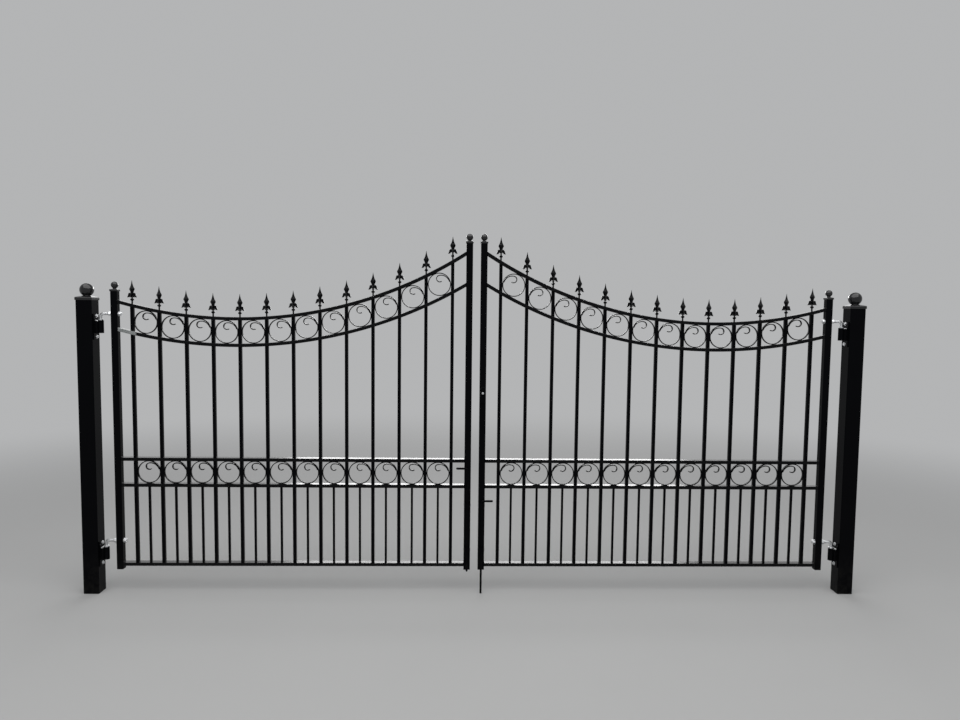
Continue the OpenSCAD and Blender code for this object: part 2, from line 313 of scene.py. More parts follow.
def along_line(line: Sequence[tuple[float, float]], x: float) -> float:
    """Reads a broken line.

    Args:
        line: Its points, in order of x.
        x: Where to read it.

    Returns:
        The line's height there.
    """
    for (x0, y0), (x1, y1) in zip(line, line[1:]):
        if x <= x1:
            return y0 + (y1 - y0) * (x - x0) / (x1 - x0)
    return line[-1][1]


# Nodes, materials and finishes


class Shader:
    """A material that is being put together from nodes."""

    def __init__(self, name: str) -> None:
        """Starts a material with one Principled shader.

        Args:
            name: The material's name.
        """
        self.material = bpy.data.materials.new(name)
        self.material.use_nodes = True
        self.nodes = self.material.node_tree.nodes
        self.links = self.material.node_tree.links
        self.surface = self.nodes["Principled BSDF"]
        self.coords = self.nodes.new("ShaderNodeTexCoord").outputs["Object"]
        self.normal = self.nodes.new("ShaderNodeNewGeometry").outputs["Normal"]

    def feed(self, socket: Socket, value: object) -> None:
        """Links a socket to another, or sets its value.

        Args:
            socket: The input that is fed.
            value: Another node's output, or a plain value.
        """
        if isinstance(value, Socket):
            self.links.new(value, socket)
        else:
            socket.default_value = value

    def add(self, kind: str, inputs: dict[str | int, object]) -> bpy.types.Node:
        """Adds a node and feeds it.

        Args:
            kind: The node's type, without its prefix.
            inputs: What goes into its inputs, by their names or numbers.

        Returns:
            The node.
        """
        node = self.nodes.new(f"ShaderNode{kind}")
        for name, value in inputs.items():
            self.feed(node.inputs[name], value)
        return node

    def math(self, operation: str, first: object, second: object) -> Socket:
        """Adds or multiplies two values.

        Args:
            operation: ADD or MULTIPLY.
            first: One value.
            second: The other.

        Returns:
            The result, kept between 0 and 1.
        """
        node = self.add("Math", {0: first, 1: second})
        node.operation = operation
        node.use_clamp = True
        return node.outputs[0]

    def noise(self, scale: float, detail: float = 2.0, roughness: float = 0.5) -> Socket:
        """Spreads a noise over the piece.

        Args:
            scale: Number of blotches to a metre.
            detail: Number of finer layers.
            roughness: Weight of the finer layers.

        Returns:
            A value from 0 to 1.
        """
        inputs = {"Vector": self.coords, "Scale": scale, "Detail": detail, "Roughness": roughness}
        return self.add("TexNoise", inputs).outputs["Fac"]

    def part(self, vector: Socket, axis: str) -> Socket:
        """Returns one component of a vector."""
        return self.add("SeparateXYZ", {0: vector}).outputs[axis]

    def ramp(self, value: Socket, start: float, end: float) -> Socket:
        """Takes a smooth step of a value.

        Args:
            value: The value.
            start: Where the step is 0.
            end: Where the step is 1.

        Returns:
            The step, from 0 to 1.
        """
        node = self.add("MapRange", {"Value": value, "From Min": start, "From Max": end})
        node.interpolation_type = "SMOOTHSTEP"
        return node.outputs[0]

    def between(self, factor: Socket, low: float, high: float) -> Socket:
        """Returns a number from low to high, by a factor."""
        return self.add("MapRange", {"Value": factor, "To Min": low, "To Max": high}).outputs[0]

    def mix(self, factor: Socket, first: Socket | Colour, second: Socket | Colour) -> Socket:
        """Mixes two colours.

        Args:
            factor: Share of the second colour.
            first: One colour.
            second: The other.

        Returns:
            The mixed colour.
        """
        node = self.nodes.new("ShaderNodeMix")
        node.data_type = "RGBA"
        self.feed(node.inputs["Factor"], factor)
        for name, value in (("A", first), ("B", second)):
            socket = next(s for s in node.inputs if s.name == name and s.type == "RGBA")
            self.feed(socket, (*value, 1.0) if isinstance(value, tuple) else value)
        return next(s for s in node.outputs if s.type == "RGBA")

    def bump(self, height: Socket, strength: float, distance: float) -> None:
        """Gives the surface relief.

        Args:
            height: Height of the relief, from 0 to 1.
            strength: How much of it shows.
            distance: Depth of the full height, in metres.
        """
        node = self.add("Bump", {"Height": height, "Strength": strength, "Distance": distance})
        self.feed(self.surface.inputs["Normal"], node.outputs[0])


def scaled(colour: Colour, factor: float) -> Colour:
    """Returns a colour made lighter or darker by a factor."""
    return tuple(level * factor for level in colour)


@dataclass(frozen=True)
class Dust:
    """Thin dust that lies on tops, and splashes that dry near the ground."""

    colour: Colour = (0.11, 0.105, 0.09)
    tops: float = 0.05
    foot: float = 0.10
    foot_height: float = 0.3
    patch_scale: float = 34.0
    grain_scale: float = 420.0

    def cover(self, shader: Shader) -> Socket:
        """Works out how much dust lies on a spot.

        Args:
            shader: The material being put together.

        Returns:
            A factor from 0 to 1.
        """
        patchy = shader.ramp(shader.noise(self.patch_scale, 4.0, 0.62), 0.32, 0.72)
        grain = shader.ramp(shader.noise(self.grain_scale), 0.35, 0.7)
        up = shader.ramp(shader.part(shader.normal, "Z"), 0.55, 0.98)
        low = shader.ramp(shader.part(shader.coords, "Z"), self.foot_height, 0.0)
        tops = shader.math("MULTIPLY", up, self.tops)
        lying = shader.math("MULTIPLY", tops, shader.between(patchy, 0.35, 1.0))
        splashed = shader.math("MULTIPLY", shader.math("MULTIPLY", low, self.foot), patchy)
        both = shader.math("ADD", lying, splashed)
        return shader.math("MULTIPLY", both, shader.between(grain, 0.6, 1.0))


@dataclass(frozen=True)
class Finish:
    """What a piece is coated with: a material, and the record's slot that it belongs to."""

    name: str
    slot: str

    def material(self) -> bpy.types.Material:
        """Makes the finish's material, the first time that it is asked for.

        Returns:
            The material.
        """
        made = bpy.data.materials.get(self.name)
        if made is None:
            shader = Shader(self.name)
            self.coat(shader)
            made = shader.material
        return made

    def coat(self, shader: Shader) -> None:
        """Lays the finish on a shader."""
        raise NotImplementedError


@dataclass(frozen=True)
class PowderCoat(Finish):
    """Gloss black coat on steel: near black, with a fine orange peel and a little dust."""

    name: str = "black powder coat"
    slot: str = "black_powder_coat"
    base: Colour = (0.0016, 0.0017, 0.0023)
    cloud_scale: float = 6.0
    cloud_lift: float = 1.5
    dust: Dust = Dust()
    gloss: float = 0.16
    gloss_scale: float = 18.0
    gloss_spread: tuple[float, float] = (-0.03, 0.05)
    shine: float = 0.04
    peel_scale: float = 330.0
    peel: float = 0.035
    peel_depth: float = 0.0006

    def coat(self, shader: Shader) -> None:
        """Lays the coat on a shader.

        Args:
            shader: The material being put together.
        """
        dust = self.dust.cover(shader)
        shader.feed(shader.surface.inputs["Base Color"], self.colour(shader, dust))
        low, high = (self.gloss + change for change in self.gloss_spread)
        cloudy = shader.between(shader.noise(self.gloss_scale, 4.0), low, high)
        shader.feed(shader.surface.inputs["Roughness"], shader.math("ADD", cloudy, dust))
        shader.surface.inputs["Specular IOR Level"].default_value = self.shine
        shader.bump(shader.noise(self.peel_scale, 1.5), self.peel, self.peel_depth)

    def colour(self, shader: Shader, dust: Socket) -> Socket:
        """Mixes the coat's colour.

        Args:
            shader: The material being put together.
            dust: How much dust lies on a spot.

        Returns:
            The colour of the coat and its dust.
        """
        cloud = shader.noise(self.cloud_scale, 3.0)
        coat = shader.mix(cloud, self.base, scaled(self.base, self.cloud_lift))
        return shader.mix(dust, coat, self.dust.colour)


@dataclass(frozen=True)
class ScrollCoat(PowderCoat):
    """The same coat on bent flat bar, whose faces stay a little duller than the rails'."""

    name: str = "black powder coat, bent bar"
    gloss: float = 0.3
    shine: float = 0.05


@dataclass(frozen=True)
class RailCoat(PowderCoat):
    """The same coat on channel, where it flows out to a higher gloss."""

    name: str = "black powder coat, high gloss"
    gloss: float = 0.17
    shine: float = 0.13


@dataclass(frozen=True)
class WornCoat(RailCoat):
    """The same coat, scuffed through to grey zinc from the hinge stile to a place along the rail."""

    name: str = "black powder coat, scuffed"
    bare: Colour = (0.37, 0.39, 0.385)
    bare_drop: float = 0.42
    end: float = 0.290
    end_fade: tuple[float, float] = (0.012, -0.02)
    blotch_scale: float = 95.0
    blotch_lift: tuple[float, float] = (-0.6, 0.12)
    worn_edge: tuple[float, float] = (0.42, 0.56)
    grain_scale: float = 110.0

    def colour(self, shader: Shader, dust: Socket) -> Socket:
        """Mixes the coat's colour with the bare metal's.

        Args:
            shader: The material being put together.
            dust: How much dust lies on a spot.

        Returns:
            The colour of the coat, its dust and the metal that shows.
        """
        coat = super().colour(shader, dust)
        far, near = (self.end + change for change in self.end_fade)
        reach = shader.ramp(shader.part(shader.coords, "X"), far, near)
        spots = shader.noise(self.blotch_scale, 5.0, 0.65)
        blotch = shader.math("ADD", spots, shader.between(reach, *self.blotch_lift))
        worn = shader.math("MULTIPLY", shader.ramp(blotch, *self.worn_edge), reach)
        cloud = shader.ramp(shader.noise(self.grain_scale, 5.0, 0.65), 0.3, 0.75)
        metal = shader.mix(cloud, self.bare, scaled(self.bare, self.bare_drop))
        return shader.mix(worn, coat, metal)


@dataclass(frozen=True)
class CastCoat(PowderCoat):
    """The same coat over cast iron, whose skin shows through as a soft grain."""

    name: str = "black coat on cast iron"
    slot: str = "black_cast_iron"
    dust: Dust = Dust(foot=0.0)
    gloss: float = 0.2
    shine: float = 0.12
    peel_scale: float = 190.0
    peel: float = 0.16


@dataclass(frozen=True)
class CapCoat(CastCoat):
    """The coat on the cast caps, whose balls are turned smooth first."""

    name: str = "black coat on turned caps"
    base: Colour = (0.0016, 0.0018, 0.0026)
    gloss: float = 0.1
    shine: float = 0.6
    peel: float = 0.06


@dataclass(frozen=True)
class ZincPlate(Finish):
    """Bright zinc plating on the hinge bolts and their nuts, a little dulled outdoors."""

    name: str = "bright zinc plate"
    slot: str = "zinc_steel"
    base: Colour = (0.78, 0.79, 0.80)
    dull: Colour = (0.52, 0.53, 0.55)
    gloss: float = 0.28
    gloss_loss: float = 0.2
    cloud_scale: float = 120.0
    grain_scale: float = 700.0
    grain: float = 0.08
    grain_depth: float = 0.0003

    def coat(self, shader: Shader) -> None:
        """Lays the plating on a shader.

        Args:
            shader: The material being put together.
        """
        cloud = shader.ramp(shader.noise(self.cloud_scale, 5.0, 0.6), 0.4, 0.75)
        shader.feed(shader.surface.inputs["Base Color"], shader.mix(cloud, self.base, self.dull))
        rough = shader.between(cloud, self.gloss, self.gloss + self.gloss_loss)
        shader.feed(shader.surface.inputs["Roughness"], rough)
        shader.surface.inputs["Metallic"].default_value = 1.0
        shader.bump(shader.noise(self.grain_scale), self.grain, self.grain_depth)


COAT = PowderCoat()
RAIL = RailCoat()
WORN_RAIL = WornCoat()
SCROLL = ScrollCoat()
CAST = CastCoat()
CAPS = CapCoat()
ZINC = ZincPlate()


# Drawing and dressing


@dataclass(frozen=True)
class Station:
    """A place on a path, with the two directions that an outline is drawn in."""

    origin: Vector
    across: Vector
    up: Vector

    @property
    def along(self) -> Vector:
        """Direction square to the outline."""
        return self.across.cross(self.up)

    def place(self, outline: Outline) -> Ring:
        """Returns the outline's points at this station."""
        return [self.origin + self.across * p.real + self.up * p.imag for p in outline]

    def moved(self, distance: float) -> "Station":
        """Returns the same station, further along."""
        return Station(self.origin + self.along * distance, self.across, self.up)


def upright(x: float, y: float, z: float) -> Station:
    """Returns a station whose outline lies flat, stacked upwards."""
    return Station(Vector((x, y, z)), X, Y)


def facing_front(x: float, y: float, z: float) -> Station:
    """Returns a station on a front face, stacked towards -Y."""
    return Station(Vector((x, y, z)), X, Z)


def along_leaf(x: float, y: float, z: float) -> Station:
    """Returns a station stacked towards +X."""
    return Station(Vector((x, y, z)), Y, Z)


def in_plane(x: float, z: float, heading: float, y: float = 0.0) -> Station:
    """Sets a station on a path that lies in the plane of the leaf.

    Args:
        x: Place along the gateway.
        z: Height.
        heading: Angle of the path above +X, in radians.
        y: Place across the leaf.

    Returns:
        A station whose outline has its first axis in the plane, square to the path.
    """
    return Station(Vector((x, y, z)), Vector((math.sin(heading), 0, -math.cos(heading))), Y)


@dataclass
class RoundBar:
    """A round bar that bends in the plane of the leaf, set out ring by ring."""

    sides: int
    y: float = 0.0
    rings: list[Ring] = field(default_factory=list)

    def ring(self, x: float, z: float, heading: float, radius: float) -> None:
        """Adds a ring at a place on the bar's path."""
        self.rings.append(in_plane(x, z, heading, self.y).place(circle(radius, self.sides)))

    def bend(self, centre: complex, reach: float, angles: Iterable[float], way: int, radius: float) -> None:
        """Adds the rings of a bend.

        Args:
            centre: Centre of the bend, in the plane of the leaf.
            reach: Radius of the bend's middle line.
            angles: Angle of each ring about the centre, in radians.
            way: 1 where the angles grow along the bar, -1 where they fall.
            radius: Radius of the bar.
        """
        for angle in angles:
            spot = centre + cmath.rect(reach, angle)
            self.ring(spot.real, spot.imag, angle + way * math.pi / 2, radius)


def shade_evenly(piece: bpy.types.Object) -> None:
    """Lets the large faces of a piece set its shading."""
    normals = piece.modifiers.new("even normals", "WEIGHTED_NORMAL")
    normals.keep_sharp = True


class Draft:
    """A mesh that is being drawn, in millimetres."""

    def __init__(self) -> None:
        """Starts with an empty sheet."""
        self.points: list[Vector] = []
        self.faces: list[tuple[int, ...]] = []

    def skin(self, rings: Sequence[Ring], closed: bool = False) -> None:
        """Joins rings of equal length by a skin.

        Args:
            rings: The rings, in order along the form.
            closed: True where the last ring joins the first again, with no lids.
        """
        start, count = len(self.points), len(rings[0])
        for ring in rings:
            self.points.extend(ring)
        for i in range(len(rings) if closed else len(rings) - 1):
            a = start + i * count
            b = start + (i + 1) % len(rings) * count
            for j in range(count):
                k = (j + 1) % count
                self.faces.append((a + j, a + k, b + k, b + j))
        if not closed:
            last = start + (len(rings) - 1) * count
            self.faces.append(tuple(range(start + count - 1, start - 1, -1)))
            self.faces.append(tuple(range(last, last + count)))

    def stack(self, foot: Station, levels: Iterable[Level], closed: bool = False) -> None:
        """Stacks outlines over a station, each at its height."""
        self.skin([foot.moved(height).place(outline) for height, outline in levels], closed)

    def lathe(self, foot: Station, profile: Iterable[tuple[float, float]], steps: int = 48) -> None:
        """Turns a profile of (radius, height) pairs about a station's axis."""
        self.stack(foot, [(height, circle(radius, steps)) for radius, height in profile])

    def build(
        self, half: Half, name: str, body: str, finish: Finish,
        replaces: Sequence[str] = (), sharp: float = 32.0,
    ) -> None:
        """Makes the piece, coats it and puts it on its body.

        Args:
            half: Half of the gateway that it stands in.
            name: Name of the piece, without its side.
            body: Body that it rides on.
            finish: Its finish.
            replaces: CAD nodes that it stands for, without their side.
            sharp: Edges that turn by more than this angle stay sharp, in degrees.
        """
        mesh = bpy.data.meshes.new(half.side.node(name))
        mesh.from_pydata([half.place(p) for p in self.points], [], self.faces)
        shell = bmesh.new()
        shell.from_mesh(mesh)
        bmesh.ops.recalc_face_normals(shell, faces=shell.faces)
        shell.to_mesh(mesh)
        shell.free()
        mesh.shade_smooth()
        mesh.set_sharp_from_angle(angle=math.radians(sharp))
        mesh.materials.append(finish.material())
        piece = bpy.data.objects.new(half.side.node(name), mesh)
        bpy.context.scene.collection.objects.link(piece)
        shade_evenly(piece)
        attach(piece, body)
        if replaces:
            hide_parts(*[half.side.node(node) for node in replaces])
        LOG.info("%s: %d faces on %s", piece.name, len(mesh.polygons), body)


@dataclass(frozen=True)
class WeldBead:
    """A weld bead with a faint ripple and tapered ends."""

    radius: float
    ripple: float = 0.09
    ripple_turn: float = 2.4
    end_share: float = 0.45
    taper_points: int = 2
    sides: int = 10

    def lay(self, draft: Draft, path: Sequence[Vector], side: Vector) -> None:
        """Lays the bead along a path.

        Args:
            draft: Sheet to draw on.
            path: Points that the bead follows.
            side: A direction square to the path.
        """
        last = len(path) - 1
        rings = []
        for i, point in enumerate(path):
            heading = (path[min(i + 1, last)] - path[max(i - 1, 0)]).normalized()
            across = (side - heading * side.dot(heading)).normalized()
            from_end = min(i, last - i) / self.taper_points
            taper = min(1.0, self.end_share + (1 - self.end_share) * from_end)
            size = self.radius * taper * (1.0 + self.ripple * math.cos(self.ripple_turn * i))
            rings.append(Station(point, across, heading.cross(across)).place(circle(size, self.sides)))
        draft.skin(rings)


@dataclass(frozen=True)
class NodeDressing:
    """How a CAD node that stays is finished: whole faces, eased edges and even shading."""

    ease: float
    merge: float = 0.001
    flat_angle: float = 0.5
    edge_angle: float = 35.0
    segments: int = 2

    def dress(self, half: Half, node: str, finish: Finish) -> None:
        """Dresses a node and gives it its finish.

        Args:
            half: Half of the gateway that it stands in.
            node: The node, without its side.
            finish: Its finish.
        """
        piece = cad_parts[half.side.node(node)]
        piece.data.materials.clear()
        piece.data.materials.append(finish.material())
        weld = piece.modifiers.new("joined faces", "WELD")
        weld.merge_threshold = self.merge * MM
        flat = piece.modifiers.new("whole faces", "DECIMATE")
        flat.decimate_type = "DISSOLVE"
        flat.angle_limit = math.radians(self.flat_angle)
        bevel = piece.modifiers.new("eased edges", "BEVEL")
        bevel.width = self.ease * MM
        bevel.segments = self.segments
        bevel.limit_method = "ANGLE"
        bevel.angle_limit = math.radians(self.edge_angle)
        shade_evenly(piece)
        LOG.info("%s: CAD node, dressed", piece.name)


# Posts and hinges


@dataclass(frozen=True)
class BallCap:
    """Square cap: a plain skirt with an eased edge, a low pyramid and a ball on a short neck.

    Heights are above the cap's square edge.
    """

    width: float
    skirt: float
    rise: float
    tube: float
    ball: float
    ball_height: float
    ease: float
    plate: float = 3.0
    plate_inset: float = 4.0
    slip: float = 0.3
    corner: float = 3.4
    foot_corner: float = 3.2
    inner_corner: float = 3.5
    rim: float = 0.5
    neck_share: float = 0.5
    crown_angle: float = 0.02
    seam_share: float = 0.024
    pyramid_shares: tuple[float, ...] = (0.97, 0.85, 0.65, 0.45, 0.25, 0.1)

    def pyramid(self, offset: complex) -> float:
        """Returns the height of the pyramid over a point of the cap."""
        reach = (self.width - 1) / 2
        return self.rise * (1 - max(abs(offset.real), abs(offset.imag)) / reach)

    def square(self, width: float, radius: float) -> Outline:
        """Returns a square level of the cap."""
        return rounded_rect(width, width, radius, steps=5)

    def skirt_levels(self) -> list[Level]:
        """Works out the skirt, from the plate inside it round to its outer face.

        Returns:
            The height and outline of each level.
        """
        inner = self.tube + self.slip
        return [
            (-self.plate, self.square(inner - 2 * self.plate_inset, 2)),
            (-self.plate, self.square(inner, self.inner_corner)),
            (-self.skirt, self.square(inner, self.inner_corner)),
            (-self.skirt, self.square(self.width - 2 * self.rim, self.foot_corner)),
            (-self.skirt + self.rim, self.square(self.width, self.corner)),
        ]

    def roof_levels(self, steps: int = 5) -> list[Level]:
        """Works out the eased edge and the pyramid over it.

        Args:
            steps: Number of spans in the eased edge.

        Returns:
            The height and outline of each level.
        """
        turn = math.pi / 2 - math.atan(2 * self.rise / self.width)
        edge = self.width - 2 * self.ease * (1 - math.cos(turn))
        levels = []
        for k in range(steps + 1):
            angle = turn * k / steps
            width = self.width - 2 * self.ease * (1 - math.cos(angle))
            shoulder = self.pyramid(complex(width / 2, 0)) if k == steps else 0
            height = self.ease * (math.sin(angle) / math.sin(turn) - 1) + shoulder
            levels.append((height, self.square(width, self.corner)))
        for share in self.pyramid_shares:
            height = self.pyramid(complex(edge * share / 2, 0))
            levels.append((height, self.square(edge * share, self.corner * share)))
        return levels

    def draw(self, draft: Draft, x: float, edge_z: float) -> None:
        """Draws the cap over a tube.

        Args:
            draft: Sheet to draw on.
            x: Centre of the tube.
            edge_z: Height of the cap's square edge.
        """
        foot = upright(x, 0, edge_z)
        draft.stack(foot, self.skirt_levels() + self.roof_levels())
        self.draw_ball(draft, foot)
        self.draw_seam(draft, foot)

    def draw_ball(self, draft: Draft, foot: Station, steps: int = 40) -> None:
        """Draws the ball and its neck.

        Args:
            draft: Sheet to draw on.
            foot: Station at the middle of the cap's square edge.
            steps: Number of spans from the neck to the top.
        """
        radius = self.ball / 2
        neck = radius * self.neck_share
        start = math.pi - math.asin(neck / radius)
        profile = [(neck, 0.0)]
        for k in range(steps + 1):
            angle = start - (start - self.crown_angle) * k / steps
            profile.append((radius * math.sin(angle), self.ball_height + radius * math.cos(angle)))
        draft.lathe(foot, profile, steps=64)

    def underside(self, reach: float) -> float:
        """Returns the height of the ball's underside, so far from its middle line."""
        return self.ball_height - math.sqrt((self.ball / 2) ** 2 - reach**2)

    def seam_reach(self, turn: complex, tries: int = 200) -> float:
        """Looks for the seam of the ball with the pyramid, from the neck outwards.

        Args:
            turn: Direction to look in.
            tries: Number of places that are looked at.

        Returns:
            How far the seam lies from the middle line.
        """
        radius = self.ball / 2
        neck = radius * self.neck_share
        reaches = [neck + (radius - neck) * step / tries for step in range(tries)]
        met = (reach for reach in reaches if self.underside(reach) >= self.pyramid(turn * reach))
        return next(met, reaches[-1])

    def draw_seam(self, draft: Draft, foot: Station, points: int = 72) -> None:
        """Draws the fillet where the ball or its neck meets the pyramid.

        Args:
            draft: Sheet to draw on.
            foot: Station at the middle of the cap's square edge.
            points: Number of points round the seam.
        """
        fillet = circle(self.ball * self.seam_share, 10)
        rings = []
        for k in range(points):
            turn = cmath.rect(1.0, math.tau * k / points)
            reach = self.seam_reach(turn)
            spot = turn * reach
            out = Vector((spot.real, spot.imag, 0))
            point = foot.origin + out + Z * max(self.pyramid(spot), self.underside(reach))
            rings.append(Station(point, out.normalized(), Z).place(fillet))
        draft.skin(rings, closed=True)


@dataclass(frozen=True)
class BoltHead:
    """Hexagon head on its washer.

    Levels give a height, the share of the flats and the share of the corners.
    """

    flats: float = 15.0
    washer: float = 10.5
    washer_thick: float = 1.7
    washer_edge: float = 0.4
    seat: float = 6.0
    levels: tuple[tuple[float, float, float], ...] = (
        (1.7, 1.0, 0.97), (5.4, 1.0, 1.02), (6.1, 1.0, 0.97), (6.7, 1.0, 0.90), (6.9, 0.9, 0.84),
    )

    def draw(self, draft: Draft, foot: Station) -> None:
        """Draws the head and its washer.

        Args:
            draft: Sheet to draw on.
            foot: Station on the face that it sits on.
        """
        rim, top, edge = self.washer, self.washer_thick, self.washer_edge
        draft.lathe(foot, [(rim, 0), (rim, top - edge), (rim - edge, top), (self.seat, top)])
        corner = self.flats / math.sqrt(3)
        draft.stack(foot, [
            (height, hexagon(self.flats * flat, corner * limit)) for height, flat, limit in self.levels
        ])


@dataclass(frozen=True)
class HingeBox:
    """Hinge box on the post: plate, block and bored barrel. Heights are from its middle."""

    half: Half
    hinge: Hinge
    plate_face: float = 50.0
    block_face: float = 64.0
    block_reach: float = 20.0
    block_low: float = -36.5
    block_high: float = 32.5
    pin_x: float = 75.0
    barrel: float = 15.5
    barrel_end: float = 36.5
    bolt_lifts: tuple[float, float] = (-58.0, 62.0)
    strip_width: float = 3.2
    strip_length: float = 38.0
    strip_corner: float = 0.6
    strip_edge: float = 0.5
    strip_levels: tuple[float, float, float] = (31.5, 36.2, 36.8)
    block_bead: WeldBead = WeldBead(2.2)
    barrel_bead: WeldBead = WeldBead(2.0)
    bead_spans: int = 17
    foot_bead: range = range(-18, 19, 4)

    @property
    def node(self) -> str:
        """The CAD node, without its side."""
        return f"{self.hinge.value}_box"

    @property
    def middle(self) -> float:
        """Height of the box's middle."""
        return sum(self.half.heights(self.node)) / 2

    def draw_bolts(self, draft: Draft) -> None:
        """Draws the heads of the bolts through the plate."""
        for lift in self.bolt_lifts:
            BoltHead().draw(draft, along_leaf(self.plate_face, 0, self.middle + lift))

    def draw_strip(self, draft: Draft) -> None:
        """Draws the keeper strip that lies on the block, against the plate.

        Args:
            draft: Sheet to draw on.
        """
        width, length, eased = self.strip_width, self.strip_length, 2 * self.strip_edge
        flat = rounded_rect(width, length, self.strip_corner)
        top = rounded_rect(width - eased, length - eased, self.strip_corner)
        foot = upright(self.plate_face + width / 2, 0, self.middle)
        draft.stack(foot, zip(self.strip_levels, (flat, flat, top)))

    def draw_welds(self, draft: Draft) -> None:
        """Draws the beads round the block and down both sides of the barrel.

        Args:
            draft: Sheet to draw on.
        """
        low, rise, spans = self.middle + self.block_low, self.block_high - self.block_low, self.bead_spans
        tall = [low + rise * k / spans for k in range(spans + 1)]
        joint = math.sqrt(self.barrel**2 - (self.pin_x - self.block_face) ** 2)
        for side in (-1, 1):
            at_plate = [Vector((self.plate_face, side * self.block_reach, z)) for z in tall]
            self.block_bead.lay(draft, at_plate, X)
            at_barrel = [Vector((self.block_face, side * joint, z)) for z in tall]
            self.barrel_bead.lay(draft, at_barrel, X)
        self.block_bead.lay(draft, [Vector((self.plate_face, y, low)) for y in self.foot_bead], X)


@dataclass
class GatePost:
    """Hinge post: square tube, cast cap and the two hinge boxes."""

    half: Half
    width: float = 90.0
    wall: float = 4.0
    corner: float = 6.0
    top: float = 1720.0
    cap: BallCap = BallCap(width=96, skirt=17, rise=12, tube=90, ball=76.2, ball_height=41, ease=3.6)
    box_ease: float = 1.2

    def build(self) -> None:
        """Builds the post with everything on it."""
        self.build_tube()
        self.build_cap()
        self.build_boxes()

    def build_tube(self) -> None:
        """Builds the post's tube, open at the foot."""
        draft = Draft()
        outer, inner = self.width, self.width - 2 * self.wall
        hollow = rounded_rect(inner, inner, self.corner - self.wall, steps=8)
        shell = rounded_rect(outer, outer, self.corner, steps=8)
        top = self.top - self.cap.plate
        draft.stack(upright(0, 0, 0), [(0, hollow), (0, shell), (top, shell), (top, hollow)], closed=True)
        draft.build(self.half, "post_tube", "posts", COAT, ["post"])

    def build_cap(self) -> None:
        """Builds the cast cap."""
        draft = Draft()
        self.cap.draw(draft, 0, self.top)
        draft.build(self.half, "post_cap_casting", "posts", CAPS, ["post_cap"])

    def build_boxes(self) -> None:
        """Dresses the hinge boxes and builds their bolt heads, keeper strips and welds."""
        bolts, strips, welds = Draft(), Draft(), Draft()
        for box in (HingeBox(self.half, hinge) for hinge in Hinge):
            NodeDressing(self.box_ease).dress(self.half, box.node, COAT)
            box.draw_bolts(bolts)
            box.draw_strip(strips)
            box.draw_welds(welds)
        bolts.build(self.half, "plate_bolts", "posts", ZINC)
        strips.build(self.half, "hinge_keeper_strips", "posts", ZINC)
        welds.build(self.half, "hinge_box_welds", "posts", COAT, sharp=60)


